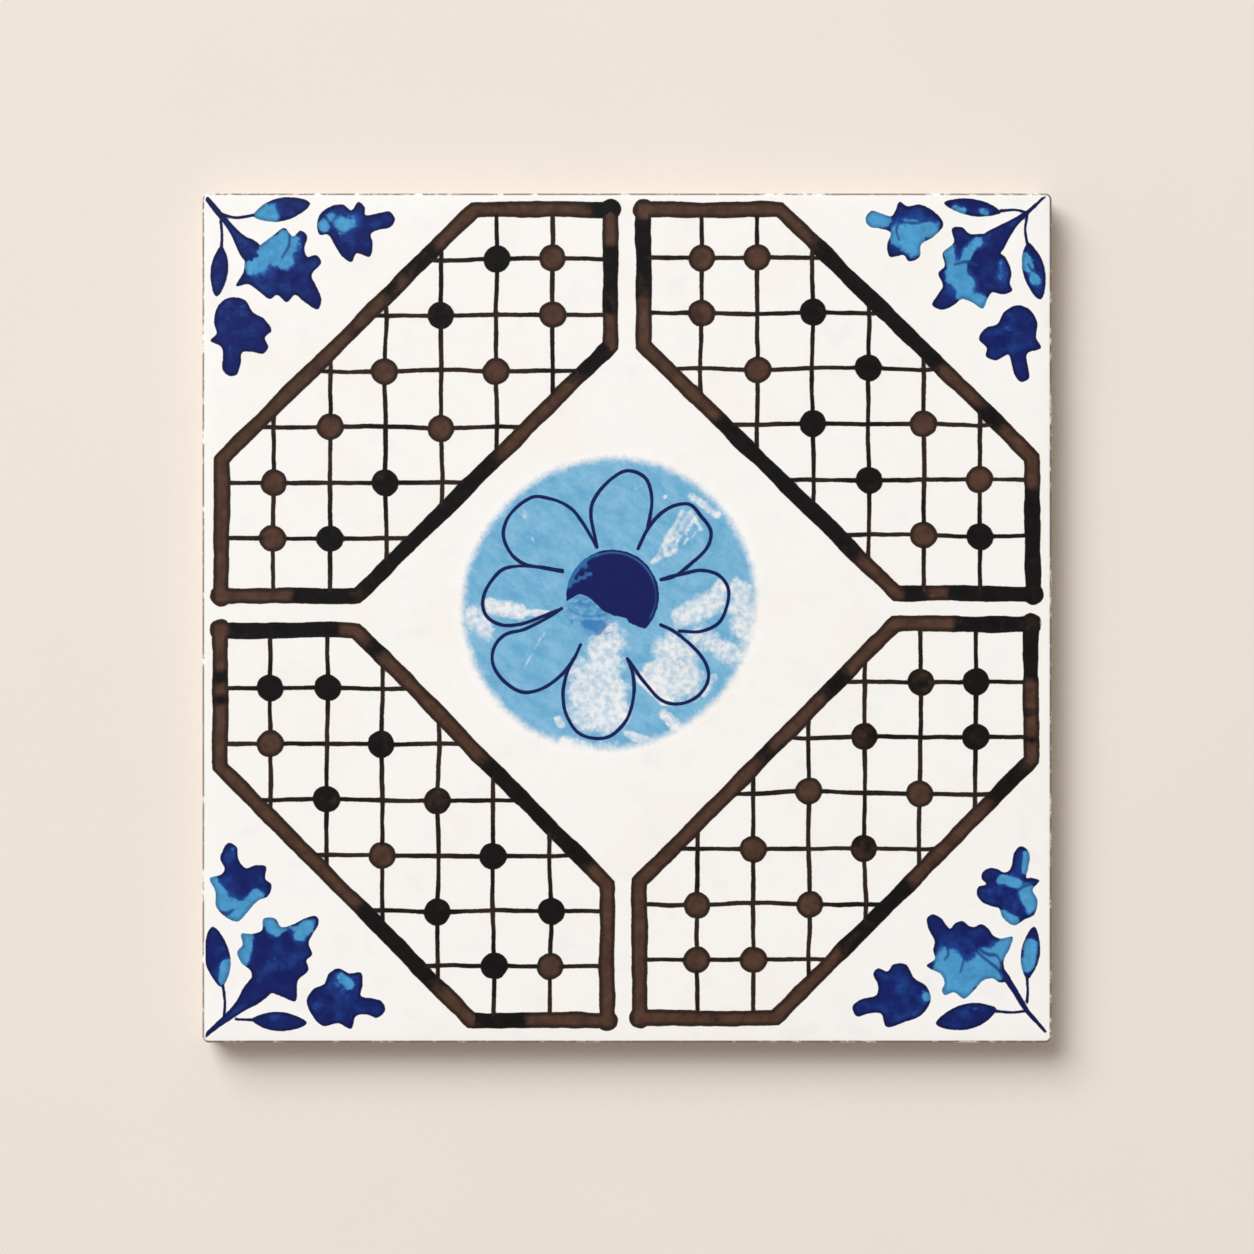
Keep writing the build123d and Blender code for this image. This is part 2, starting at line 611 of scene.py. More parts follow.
# Places are mm in from the tile's two edges at the sprig's corner. Strokes are (x, y, half
# width), a leaf is its foot, tip and width, and a flower is the outline of its petals. Pale
# blots, where the wash is thin, are (x, y, radius, strength), or (x, y, x2, y2, radius,
# strength) where they are long. Veins, strokes too, cross them in a fuller wash.
SPRIGS = [
    {
        "side": (-1, 1),
        "strokes": [
            [(0.4, 0.3, 0.45), (2.6, 3.1, 0.7), (4.8, 5.7, 0.75), (7.4, 9.0, 0.95),
             (9.4, 11.6, 1.7), (11.4, 13.6, 2.6), (12.4, 14.8, 2.4)],
            [(4.5, 5.0, 0.4), (8.0, 5.8, 0.38), (12.6, 5.1, 0.4)],
            [(4.4, 6.6, 0.38), (4.7, 9.6, 0.36), (4.6, 12.8, 0.4)],
        ],
        "leaves": [((12.0, 5.3), (25.5, 2.4), 5.7), ((4.7, 12.4), (3.4, 24.4), 4.3)],
        "flowers": [
            [(10.2, 15.8), (9.7, 18.6), (8.0, 21.9), (10.8, 21.5), (13.3, 23.1), (16.1, 25.0),
             (17.6, 24.0), (20.0, 25.7), (21.9, 24.0), (24.1, 25.7), (27.3, 27.4), (28.1, 25.0),
             (26.7, 21.5), (25.8, 19.4), (28.1, 16.2), (26.9, 14.6), (24.8, 15.0), (24.1, 13.1),
             (24.8, 10.2), (23.2, 8.8), (21.4, 10.2), (19.4, 8.2), (17.0, 9.7), (14.0, 12.0),
             (11.8, 13.3)],
            [(38.4, 5.1), (41.6, 4.7), (44.1, 4.3), (45.4, 6.1), (44.4, 8.0), (41.6, 8.7),
             (39.7, 9.7), (40.2, 11.7), (39.5, 15.0), (37.8, 14.6), (36.3, 14.2), (35.2, 16.3),
             (33.0, 15.0), (31.3, 12.4), (29.6, 9.8), (27.7, 9.8), (27.0, 7.8), (27.9, 4.8),
             (30.3, 3.1), (33.3, 2.7), (35.1, 4.0), (36.8, 2.1), (38.3, 3.3)],
            [(7.6, 24.5), (10.2, 25.2), (12.0, 28.0), (14.6, 29.6), (16.4, 32.4), (14.8, 34.0),
             (15.6, 36.2), (14.4, 37.8), (11.8, 37.4), (9.5, 37.6), (9.1, 40.3), (8.1, 42.8),
             (6.2, 43.0), (4.7, 41.3), (4.9, 38.7), (4.5, 36.3), (1.9, 34.7), (3.4, 33.1),
             (2.8, 30.4), (3.6, 26.8), (5.5, 24.9)],
        ],
        "pale": [(14.5, 5.2, 3.0, 1.0), (13.0, 16.1, 3.3, 1.0), (16.5, 13.3, 3.8, 1.0),
                 (19.7, 11.4, 3.2, 1.0), (19.4, 15.0, 2.6, 1.0), (33.0, 7.3, 2.0, 1.0),
                 (28.7, 7.8, 1.5, 0.95), (30.6, 5.6, 1.6, 0.6), (35.0, 6.6, 2.0, 0.55),
                 (6.7, 36.2, 1.4, 0.26)],
        "veins": [
            [(20.6, 9.6, 0.2), (20.4, 12.4, 0.34), (18.8, 15.2, 0.2)],
            [(29.0, 5.4, 0.2), (30.6, 8.0, 0.34), (33.6, 9.6, 0.2)],
        ],
    },
    {
        "side": (1, 1),
        "strokes": [
            [(1.3, 0.4, 0.3), (3.6, 2.6, 0.4), (5.8, 4.6, 0.55), (8.6, 6.8, 1.0),
             (11.6, 9.4, 2.0), (14.4, 12.2, 3.2)],
            [(5.8, 4.6, 0.35), (8.6, 4.0, 0.33), (12.0, 4.2, 0.4)],
            [(5.8, 4.9, 0.35), (6.3, 8.6, 0.33), (5.8, 12.0, 0.4)],
        ],
        "leaves": [((12.0, 4.5), (25.4, 2.3), 4.2), ((5.8, 11.6), (2.7, 25.1), 5.4)],
        "flowers": [
            [(12.7, 13.4), (10.6, 15.6), (9.5, 18.8), (9.9, 21.3), (9.3, 22.9), (11.6, 23.9),
             (14.1, 23.4), (15.1, 24.8), (16.3, 27.2), (18.6, 25.9), (21.2, 25.0), (23.1, 26.4),
             (26.0, 27.5), (28.2, 26.3), (26.9, 23.9), (25.7, 21.7), (26.8, 18.8), (25.3, 17.2),
             (25.7, 14.1), (23.1, 11.5), (23.6, 8.4), (21.2, 8.0), (19.3, 9.6), (15.7, 9.6),
             (13.6, 10.8)],
            [(35.9, 2.0), (34.0, 3.1), (31.1, 2.7), (27.9, 4.2), (25.5, 7.4), (27.9, 10.3),
             (30.8, 12.2), (31.1, 15.0), (33.7, 16.1), (34.9, 14.7), (38.2, 15.0), (38.8, 12.2),
             (38.0, 9.3), (40.4, 8.4), (43.0, 7.9), (43.9, 6.1), (42.6, 4.2), (40.1, 4.8),
             (37.8, 5.4), (36.9, 4.2)],
            [(8.4, 26.4), (5.5, 27.2), (3.5, 30.2), (3.7, 34.0), (2.6, 36.4), (5.8, 37.8),
             (5.6, 41.0), (5.4, 43.5), (7.3, 44.5), (8.8, 42.9), (9.5, 40.3), (10.3, 38.1),
             (13.2, 39.4), (15.6, 38.4), (15.4, 36.5), (17.2, 34.3), (15.7, 31.8), (12.9, 30.8),
             (11.3, 28.0)],
        ],
        "pale": [(23.0, 3.6, 21.2, 4.2, 1.0, 0.75), (16.2, 4.4, 15.4, 4.6, 1.0, 0.75),
                 (6.6, 14.8, 5.6, 17.6, 1.2, 1.0), (4.4, 19.6, 3.6, 20.8, 1.2, 0.9),
                 (24.6, 12.4, 24.0, 16.0, 1.4, 1.0), (19.6, 13.6, 17.4, 11.4, 1.3, 0.9),
                 (19.4, 14.0, 21.6, 17.6, 0.9, 0.9), (22.8, 18.6, 20.6, 22.2, 2.6, 1.0),
                 (21.0, 23.6, 16.8, 25.6, 1.9, 1.0), (11.9, 16.2, 12.2, 20.2, 0.8, 0.6),
                 (42.2, 6.1, 39.6, 6.4, 2.0, 1.0), (35.8, 9.4, 32.2, 12.0, 2.9, 1.0),
                 (32.8, 8.2, 28.6, 8.8, 2.2, 1.0), (10.0, 33.0, 2.0, 0.21)],
        "veins": [
            [(28.2, 5.6, 0.3), (31.6, 7.0, 0.4), (35.6, 6.8, 0.3)],
            [(36.2, 7.0, 0.25), (36.6, 9.0, 0.3), (36.0, 11.0, 0.2)],
            [(22.8, 16.8, 0.3), (20.2, 16.2, 0.45), (17.6, 17.0, 0.3)],
            [(19.6, 18.6, 0.3), (17.8, 20.6, 0.4), (17.4, 23.2, 0.25)],
            [(5.6, 16.8, 0.25), (4.6, 18.2, 0.35), (2.6, 19.0, 0.25)],
        ],
    },
    {
        "side": (-1, -1),
        "strokes": [
            [(0.4, 1.4, 0.45), (3.4, 4.0, 0.7), (6.4, 6.4, 1.0), (9.4, 9.0, 1.6),
             (12.4, 12.0, 2.8), (14.4, 14.0, 3.0)],
            [(5.1, 5.6, 0.38), (5.4, 9.6, 0.35), (4.9, 13.6, 0.4)],
            [(8.0, 5.6, 0.32), (10.0, 5.5, 0.33), (12.2, 5.4, 0.4)],
        ],
        "leaves": [((4.8, 13.2), (2.4, 27.4), 6.2), ((11.6, 5.4), (24.7, 4.7), 4.7)],
        "flowers": [
            [(11.8, 14.6), (11.5, 16.9), (9.2, 18.9), (8.3, 21.5), (9.5, 23.1), (9.2, 25.7),
             (11.8, 25.7), (14.1, 26.6), (14.4, 29.2), (17.1, 29.4), (18.7, 27.3), (21.3, 27.9),
             (24.3, 29.4), (26.9, 29.9), (27.5, 28.3), (25.9, 25.3), (25.1, 23.4), (26.0, 20.8),
             (24.6, 19.5), (25.1, 17.2), (22.6, 14.6), (22.0, 9.8), (19.0, 10.8), (16.1, 11.7),
             (13.5, 10.8)],
            [(4.6, 44.8), (6.2, 47.1), (8.2, 46.1), (8.5, 43.5), (10.2, 41.2), (12.8, 41.9),
             (15.1, 41.5), (14.9, 38.6), (16.4, 37.3), (15.5, 34.5), (13.1, 33.4), (10.8, 30.9),
             (8.5, 28.6), (5.6, 29.6), (3.3, 32.1), (3.1, 35.7), (1.8, 38.8), (4.4, 39.6),
             (5.3, 40.9), (4.3, 43.2)],
            [(32.1, 17.6), (34.7, 16.4), (37.4, 16.6), (37.8, 13.7), (37.4, 11.1), (39.7, 10.6),
             (42.3, 9.8), (43.1, 7.8), (41.3, 5.9), (38.7, 6.7), (36.2, 6.2), (35.1, 3.3),
             (32.1, 4.6), (28.5, 4.0), (25.9, 6.5), (24.6, 10.1), (26.2, 12.7), (28.8, 14.0),
             (29.8, 16.3)],
        ],
        "pale": [(6.2, 18.4, 5.0, 15.2, 1.6, 1.0), (16.7, 6.5, 1.6, 0.26),
                 (10.6, 25.4, 9.6, 19.6, 1.6, 1.0), (15.4, 28.6, 17.4, 26.8, 1.7, 1.0),
                 (25.0, 27.6, 23.2, 25.8, 1.8, 1.0), (19.6, 27.2, 22.0, 27.2, 0.8, 0.8),
                 (18.0, 20.0, 3.0, 0.21), (2.4, 39.2, 4.2, 35.6, 1.4, 1.0),
                 (4.6, 33.6, 8.2, 30.8, 2.4, 1.0), (9.2, 31.6, 13.0, 34.2, 1.8, 1.0),
                 (6.6, 45.2, 1.9, 0.31), (32.6, 15.4, 34.6, 13.8, 1.3, 0.85),
                 (32.2, 13.0, 2.0, 0.36), (39.0, 9.1, 1.5, 0.26)],
        "veins": [
            [(4.0, 31.0, 0.2), (5.8, 30.4, 0.6), (7.4, 31.4, 0.25)],
            [(19.6, 27.4, 0.2), (20.8, 26.4, 0.35), (21.4, 24.6, 0.2)],
        ],
    },
    {
        "side": (1, -1),
        "strokes": [
            [(1.6, 2.7, 0.35), (3.8, 5.2, 0.5), (5.9, 7.6, 0.6), (9.2, 13.0, 0.75),
             (12.0, 17.0, 0.9), (15.0, 20.0, 0.5)],
            [(5.9, 9.6, 0.36), (5.7, 12.4, 0.34), (5.9, 15.4, 0.4)],
            [(5.6, 7.6, 0.36), (9.4, 7.2, 0.34), (13.4, 7.5, 0.4)],
        ],
        "leaves": [((5.9, 15.0), (4.2, 27.4), 4.6), ((13.0, 7.9), (27.3, 4.5), 6.2)],
        "flowers": [
            [(10.7, 14.6), (11.1, 16.9), (11.3, 19.5), (9.9, 22.3), (9.3, 25.0), (12.1, 24.6),
             (13.8, 25.3), (14.9, 26.9), (16.7, 28.0), (18.2, 27.4), (19.5, 27.6), (21.1, 28.7),
             (22.8, 28.2), (24.0, 27.0), (26.1, 29.4), (28.1, 30.3), (29.4, 29.4), (29.0, 26.7),
             (27.6, 23.9), (28.0, 22.0), (27.6, 19.8), (29.5, 18.2), (28.2, 17.2), (26.3, 16.3),
             (25.3, 14.2), (25.9, 12.4), (25.3, 11.3), (23.0, 11.9), (20.7, 10.4), (18.3, 12.4),
             (16.3, 14.6), (14.2, 15.2), (12.1, 14.2)],
            [(7.4, 46.3), (9.0, 44.7), (9.3, 42.6), (10.1, 40.6), (11.4, 40.2), (12.7, 40.9),
             (14.6, 41.2), (16.3, 40.3), (16.6, 38.7), (15.5, 37.4), (17.3, 36.8), (17.7, 35.0),
             (16.5, 33.2), (14.4, 32.2), (12.4, 31.6), (11.8, 29.8), (9.1, 27.7), (6.3, 29.1),
             (4.2, 30.2), (3.4, 33.5), (4.5, 36.0), (3.8, 37.1), (2.9, 38.2), (4.7, 38.9),
             (6.0, 38.9), (5.5, 41.6), (5.2, 44.1), (6.0, 45.7)],
            [(37.4, 18.5), (34.4, 18.5), (32.4, 15.3), (29.5, 13.3), (28.5, 10.1), (30.8, 6.5),
             (34.7, 4.9), (39.0, 3.8), (40.3, 6.9), (43.2, 6.9), (45.9, 6.2), (47.0, 8.5),
             (44.9, 10.3), (41.3, 11.4), (41.0, 13.7), (42.1, 16.3), (41.0, 17.6), (38.7, 16.9)],
        ],
        "pale": [(5.0, 22.8, 5.8, 18.4, 1.7, 1.0), (19.7, 7.8, 2.0, 0.16),
                 (24.6, 19.0, 22.0, 15.0, 3.6, 1.0), (24.4, 13.0, 20.4, 12.4, 2.6, 1.0),
                 (18.6, 15.8, 14.2, 19.4, 3.3, 1.0), (13.0, 20.6, 11.0, 23.8, 2.0, 1.0),
                 (13.2, 16.0, 1.8, 1.0), (6.0, 44.6, 6.2, 40.4, 0.9, 1.0),
                 (11.6, 38.4, 8.2, 37.6, 1.2, 1.0), (6.0, 36.0, 4.8, 32.2, 1.8, 1.0),
                 (12.0, 30.4, 8.6, 28.6, 1.1, 1.0), (29.4, 11.0, 1.3, 0.9),
                 (35.5, 14.5, 2.0, 0.16)],
        "veins": [
            [(21.1, 22.4, 0.35), (20.7, 20.0, 0.3), (21.5, 16.8, 0.2)],
            [(18.9, 23.0, 0.3), (16.2, 20.2, 0.34), (12.6, 17.2, 0.4), (10.8, 14.2, 0.45)],
            [(17.4, 22.2, 0.25), (15.0, 20.8, 0.5), (13.0, 20.6, 0.3), (12.0, 18.6, 0.2)],
            [(24.6, 22.4, 0.2), (24.4, 20.8, 0.3), (25.2, 19.6, 0.2)],
            [(4.0, 37.4, 0.3), (6.4, 37.0, 0.4), (8.0, 35.8, 0.3)],
            [(8.4, 39.6, 0.5), (7.6, 42.0, 0.6), (7.2, 44.4, 0.4)],
        ],
    },
]


def leaf_outline(foot, tip, width):
    """A pointed leaf, fullest near its middle."""
    foot, tip = np.array(foot), np.array(tip)
    along = tip - foot
    side = np.array([-along[1], along[0]]) / math.hypot(*along)
    edge = [(0.0, 0.03), (0.16, 0.30), (0.38, 0.47), (0.62, 0.46), (0.85, 0.29), (0.96, 0.14)]
    left = [foot + along * t + side * width * w for t, w in edge]
    right = [foot + along * t - side * width * w for t, w in reversed(edge[1:])]
    return np.array([*left, tip, *right])


def sprig_shapes():
    """The blue ink in the corners, as stems, stalks, leaves and flowers, and its veins."""
    shapes, veins = [], []
    for sprig in SPRIGS:
        side = np.array(sprig["side"])
        corner = side * (HALF_WIDTH, HALF_LENGTH)
        pale = []
        for *ends, radius, strength in sprig["pale"]:
            places = corner - side * np.reshape(ends, (-1, 2))
            pale.append((*places.ravel(), radius, strength))
        for strokes, kept in ((sprig["strokes"], shapes), (sprig["veins"], veins)):
            for stroke in strokes:
                points = np.array(stroke)
                points[:, :2] = corner - side * points[:, :2]
                kept.append(Stroke(toneless(smooth_line(points, STEPS["stem"]))))
        for outline in [leaf_outline(*leaf) for leaf in sprig["leaves"]] + sprig["flowers"]:
            points = corner - side * np.array(outline)
            line = smooth_line(points, STEPS["flower"], closed=True)
            shapes.append(Patch(line, blots=pale))
    return shapes, veins


# The medallion

DAISY_CENTRE = (-3.5, 6.3)
DISC_CENTRE = (-4.3, 3.3)

# All of these are mm from the daisy's centre. Each petal is an open line from foot to foot.
PETALS = [
    [(-3.6, 10.4), (-4.9, 20.0), (-1.5, 25.2), (3.5, 28.4), (7.7, 26.7), (9.3, 22.5),
     (9.0, 18.0), (8.4, 15.2)],
    [(6.1, 10.0), (8.2, 14.3), (12.5, 19.1), (18.0, 20.5), (21.2, 17.3), (23.3, 14.1),
     (22.2, 10.1), (18.5, 6.4), (14.5, 3.4), (11.5, 2.7)],
    [(11.5, 2.8), (16.0, 3.9), (21.0, 4.9), (25.2, 3.7), (27.3, 0.7), (27.0, -3.7),
     (25.0, -7.6), (20.5, -9.5), (15.8, -9.4)],
    [(11.4, -7.9), (15.0, -9.7), (19.2, -13.3), (22.2, -17.3), (22.6, -20.7), (20.4, -24.5),
     (16.0, -26.5), (12.0, -25.9), (8.0, -21.9), (3.6, -15.9)],
    [(3.6, -15.9), (4.9, -19.5), (5.0, -24.9), (3.4, -30.3), (0.0, -33.8), (-3.9, -34.7),
     (-8.0, -33.3), (-10.7, -29.3), (-11.6, -24.4), (-10.7, -19.5), (-9.1, -15.9)],
    [(-7.4, -12.6), (-9.5, -16.8), (-13.0, -20.7), (-17.5, -23.3), (-21.2, -23.7),
     (-25.2, -21.4), (-27.9, -17.5), (-28.0, -13.8), (-25.5, -10.4), (-20.5, -8.9),
     (-15.5, -6.4), (-11.9, -4.1)],
    [(-12.1, -4.2), (-17.0, -6.2), (-22.0, -7.8), (-26.2, -7.9), (-29.5, -5.9), (-30.5, -2.5),
     (-29.2, 1.2), (-25.7, 5.1), (-21.5, 5.9), (-17.0, 5.7), (-11.7, 4.8)],
    [(-11.7, 4.6), (-16.5, 5.5), (-21.2, 6.6), (-24.2, 9.4), (-25.6, 13.1), (-24.9, 16.6),
     (-22.0, 20.1), (-18.5, 22.2), (-14.0, 21.6), (-9.7, 19.5), (-6.5, 15.4), (-3.6, 10.4)],
]

# The eye is a disc with its lower left rubbed away along this line. The centre of its rim
# sits a little below the daisy's.
EYE_OFFSET = (0.1, -1.1)
EYE_TURNS = (187.0, -45.0)
EYE_BREAK = [
    (7.0, -8.7), (5.4, -8.0), (4.0, -7.5), (3.5, -6.5), (1.5, -6.0), (-1.5, -5.0),
    (-3.5, -3.3), (-5.5, -1.5), (-7.5, -0.8), (-9.2, -1.4),
]
# Square to the break, towards the whole of the eye, and where on that way, mm from the middle
# of the tile, the thin ring inside the eye's rim fades in
EYE_UP = (0.41, 0.91)
EYE_RING_FADE = (1.3, 3.3)
# Where the eye is rubbed: (x, y, x2, y2, radius, strength)
EYE_RUBS = [
    (-10.4, 1.4, -9.2, 4.6, 0.75, 1.0), (-9.2, 4.6, -6.6, 7.2, 0.7, 0.9),
    (-6.4, 7.4, -3.2, 8.8, 0.4, 0.7), (-9.8, 1.8, -5.0, 4.2, 0.5, 0.75),
    (-8.0, 4.4, -5.4, 6.0, 0.35, 0.55),
]

# What is left of the eye below the break: a thin arc and a splash
GHOST_ARC = [
    (-10.2, -4.0, 0.2), (-8.5, -5.2, 0.3), (-6.0, -5.8, 0.3), (-3.5, -5.8, 0.3),
    (-1.4, -5.4, 0.25),
]
GHOST_SPLASH = [
    (-7.0, -6.9), (-5.0, -6.7), (-2.5, -6.9), (-1.0, -7.7), (-2.5, -9.7), (-3.7, -10.4),
    (-5.0, -9.2), (-7.0, -8.2),
]
HAZE = [
    (-8.4, -2.4, -3.4, -4.4, 2.4, 1.0), (-6.0, -6.8, -2.6, -8.6, 2.6, 1.0),
    (-10.4, -4.6, -9.4, -6.6, 1.4, 0.7),
]
GHOST_DABS = [(-9.5, -7.0, 0.55), (-7.5, -2.7, 0.4), (-5.4, -2.9, 0.35)]

# Where the disc is rubbed: (x, y, x2, y2, radius, strength)
DISC_RUBS = [
    (-28.8, -3.6, -22.0, -4.8, 1.9, 0.9), (-22.0, -4.8, -15.5, -5.2, 1.0, 0.75),
    (-31.5, -5.5, -29.8, -9.5, 2.6, 0.58), (-1.0, -12.0, -2.6, -19.0, 4.6, 0.7),
    (-3.2, -20.0, -2.8, -28.0, 6.4, 0.7), (0.5, -22.0, 2.0, -29.5, 2.4, 0.85),
    (-7.6, -19.5, -8.2, -28.5, 3.0, 0.6), (-4.0, -30.0, -2.0, -31.5, 2.2, 0.62),
    (7.0, -20.5, 12.8, -25.6, 1.5, 1.0), (14.2, -14.4, 16.6, -21.0, 4.8, 0.72),
    (9.5, -18.5, 13.0, -22.5, 2.2, 0.9), (17.0, -6.0, 24.5, -2.0, 3.0, 0.68),
    (22.5, -3.0, 25.5, 1.0, 1.8, 0.75), (29.5, 0.5, 30.5, -9.0, 2.8, 0.62),
    (20.5, -11.0, 27.5, -14.0, 3.2, 0.56), (9.4, 6.8, 16.6, 18.8, 0.5, 0.58),
    (10.6, 7.0, 18.4, 18.6, 0.5, 0.56), (12.0, 7.4, 19.8, 17.2, 0.45, 0.56),
    (13.6, 8.2, 20.8, 14.8, 0.4, 0.54), (13.4, 12.0, 18.0, 17.8, 2.2, 0.38),
    (18.3, 18.5, 20.8, 14.8, 0.7, 0.66), (5.3, 23.6, 7.2, 25.3, 0.5, 0.5),
    (12.5, 22.2, 12.7, 22.4, 0.5, 0.8), (18.5, 22.4, 24.5, 17.8, 0.9, 0.6),
    (25.0, 18.2, 25.2, 18.0, 0.6, 0.8), (-21.4, 20.4, -18.6, 16.2, 0.35, 0.42),
    (-17.5, 8.4, -21.4, 19.8, 0.3, 0.36), (-16.2, -9.8, -21.2, -19.4, 0.32, 0.46),
    (12.0, -29.0, 15.0, -31.5, 1.3, 0.8), (4.0, -33.5, 7.0, -34.5, 1.0, 0.6),
    (-13.0, -30.4, -12.0, -31.4, 0.9, 0.8), (-11.0, -35.5, -6.0, -37.0, 1.3, 0.7),
    (-21.0, 3.8, -17.0, 3.2, 0.35, 0.42), (21.5, -24.0, 24.0, -20.0, 1.0, 0.55),
]


def on_daisy(points):
    """Places given from the daisy's centre, as places on the tile. Other columns are kept."""
    points = np.array(points, float)
    points[:, :2] += DAISY_CENTRE
    return points


def medallion_shapes(sizes):
    """The shapes of the medallion's four inks: disc, outline, eye and ghost."""
    outlines = []
    for number, petal in enumerate(PETALS):
        line = smooth_line(toneless(on_daisy(petal)), STEPS["petal"])
        line = strayed(line, 0.06, 3.0, SEEDS["petal"] + number)
        line[:, 2] = sizes.outline / 2 + 0.05 * tremor(line, 5.0, SEEDS["outline"] + number)
        outlines.append(Stroke(toneless(line)))
    turns = np.radians(np.linspace(*EYE_TURNS, 40))
    rim = np.stack([np.cos(turns), np.sin(turns)], 1) * sizes.eye_radius + EYE_OFFSET
    eye = Patch(smooth_line(on_daisy([*rim, *EYE_BREAK]), STEPS["eye"], closed=True))
    arc = Stroke(toneless(smooth_line(on_daisy(GHOST_ARC), STEPS["ghost"])))
    splash = Patch(smooth_line(on_daisy(GHOST_SPLASH), STEPS["ghost"], closed=True))
    dabs = [
        round_patch((x, y), radius, SEEDS["dab"] + x, stray=0.05, steps=10)
        for x, y, radius in on_daisy(GHOST_DABS)
    ]
    disc = round_patch(DISC_CENTRE, sizes.disc_radius, SEEDS["disc"], stray=0.3, steps=150)
    return {
        "disc": [disc],
        "outline": outlines,
        "eye": [eye],
        "ghost": [arc, splash, *dabs],
    }


# The tile's mesh

# On the flat the face fills most of the square, the four sides lie in strips above it and
# the back sits small beside it.
FACE_SPAN = 0.862
FLAT_GAP = 0.006
STRIP_HEIGHT = 0.026
BACK_SPAN = 1 - FACE_SPAN - 3 * FLAT_GAP


def face_flat(places):
    """Places on the face, as places on the flat."""
    places = np.asarray(places)[:, :2]
    return FLAT_GAP + FACE_SPAN * (places / (HALF_WIDTH, HALF_LENGTH) + 1) / 2


def back_flat(places):
    """Places on the back, seen from below, as places on the flat."""
    places = np.asarray(places)[:, :2] * (-1, 1)
    start = (FACE_SPAN + 2 * FLAT_GAP, FLAT_GAP)
    return start + BACK_SPAN * (places / (HALF_WIDTH, HALF_LENGTH) + 1) / 2


def strip_flat(side, along, up):
    """A place on one of the four sides, as a place on the flat."""
    foot = FACE_SPAN + 2 * FLAT_GAP + side * (STRIP_HEIGHT + FLAT_GAP)
    return FLAT_GAP + FACE_SPAN * along, foot + STRIP_HEIGHT * up


class Shell:
    """A mesh in the making: places in mm, faces, and each face's zone and place on the flat."""

    def __init__(self):
        self.places, self.faces, self.zones, self.flat = [], [], [], []

    def add_places(self, places):
        """Adds places and returns their numbers."""
        start = len(self.places)
        self.places.extend(tuple(float(c) for c in place) for place in places)
        return list(range(start, len(self.places)))

    def add_face(self, corners, zone, flat):
        self.faces.append(tuple(corners))
        self.zones.append(zone)
        self.flat.append(flat)


class Rim:
    """The tile's rounded square, drawn at any inset with the same count of points."""

    SIDE_STEPS = 84
    CORNER_STEPS = 8
    PER_SIDE = SIDE_STEPS + CORNER_STEPS

    def __init__(self, radius):
        self.radius = radius
        x, y = HALF_WIDTH - radius, HALF_LENGTH - radius
        corners = [(x, -y), (x, y), (-x, y), (-x, -y)]
        centres, facings = [], []
        for number, corner in enumerate(corners):
            following = corners[(number + 1) % 4]
            turns = [number - 1 + step / self.CORNER_STEPS for step in range(self.CORNER_STEPS)]
            centres += [corner] * self.CORNER_STEPS
            for step in range(self.SIDE_STEPS):
                t = step / self.SIDE_STEPS
                centres.append([a + (b - a) * t for a, b in zip(corner, following)])
                turns.append(number)
            facings += [(math.cos(math.pi / 2 * t), math.sin(math.pi / 2 * t)) for t in turns]
        self.centres, self.facings = np.array(centres), np.array(facings)

    def at(self, inset, height, worn=0.0):
        """The ring at this inset from the tile's edge and this height, in mm."""
        reach = np.broadcast_to(self.radius - inset - worn, len(self.centres))
        plan = self.centres + self.facings * reach[:, None]
        return np.column_stack([plan, np.full(len(plan), height)])


def lay_sides(shell, sizes):
    """Skirt, upright side and arris. Returns the numbers of the lowest and the highest ring."""
    rim = Rim(sizes.corner_radius)
    chips = np.array([noise.noise((x / 3, y / 3, 2.0)) for x, y, _ in rim.at(0, 0)])
    worn = 0.04 * (1 + chips)
    skirt, arris = sizes.skirt_height, sizes.arris_radius
    shoulder = THICKNESS - arris
    # Inset, height, height on the flat, and share of the wear
    rows = [
        (sizes.skirt_inset + 0.60, 0.0, 0.0, 0.0),
        (sizes.skirt_inset + 0.24, 0.0, 0.03, 0.0),
        (sizes.skirt_inset + 0.07, 0.07, 0.05, 0.0),
        (sizes.skirt_inset * 0.96, 0.25, 0.07, 0.0),
        (sizes.skirt_inset * 0.5, skirt * 0.5, 0.18, 0.0),
        (0.02, skirt - 0.15, 0.30, 0.0),
        (0.0, skirt + 0.15, 0.33, 0.0),
        (0.0, (skirt + shoulder) / 2, 0.55, 0.0),
        (0.0, shoulder - 0.25, 0.80, 0.0),
    ]
    turns = 6
    for step in range(turns + 1):
        t = step / turns
        inset = arris * (1 - math.cos(math.pi / 2 * t))
        height = shoulder + arris * math.sin(math.pi / 2 * t) - sizes.face_fall * t
        rows.append((inset, height, 0.82 + 0.18 * t, math.sin(math.pi * t)))
    rings = [shell.add_places(rim.at(inset, z, worn * wear)) for inset, z, _, wear in rows]
    for k, (lower, upper) in enumerate(zip(rings, rings[1:])):
        zone = "edge" if rows[k][1] > skirt else "body"
        up, up_next = rows[k][2], rows[k + 1][2]
        for i in range(len(lower)):
            j = (i + 1) % len(lower)
            side, step = divmod(i, rim.PER_SIDE)
            left, right = step / rim.PER_SIDE, (step + 1) / rim.PER_SIDE
            flat = [(left, up), (right, up), (right, up_next), (left, up_next)]
            corners = (lower[i], lower[j], upper[j], upper[i])
            shell.add_face(corners, zone, [strip_flat(side, *place) for place in flat])
    return rings[0], rings[-1]


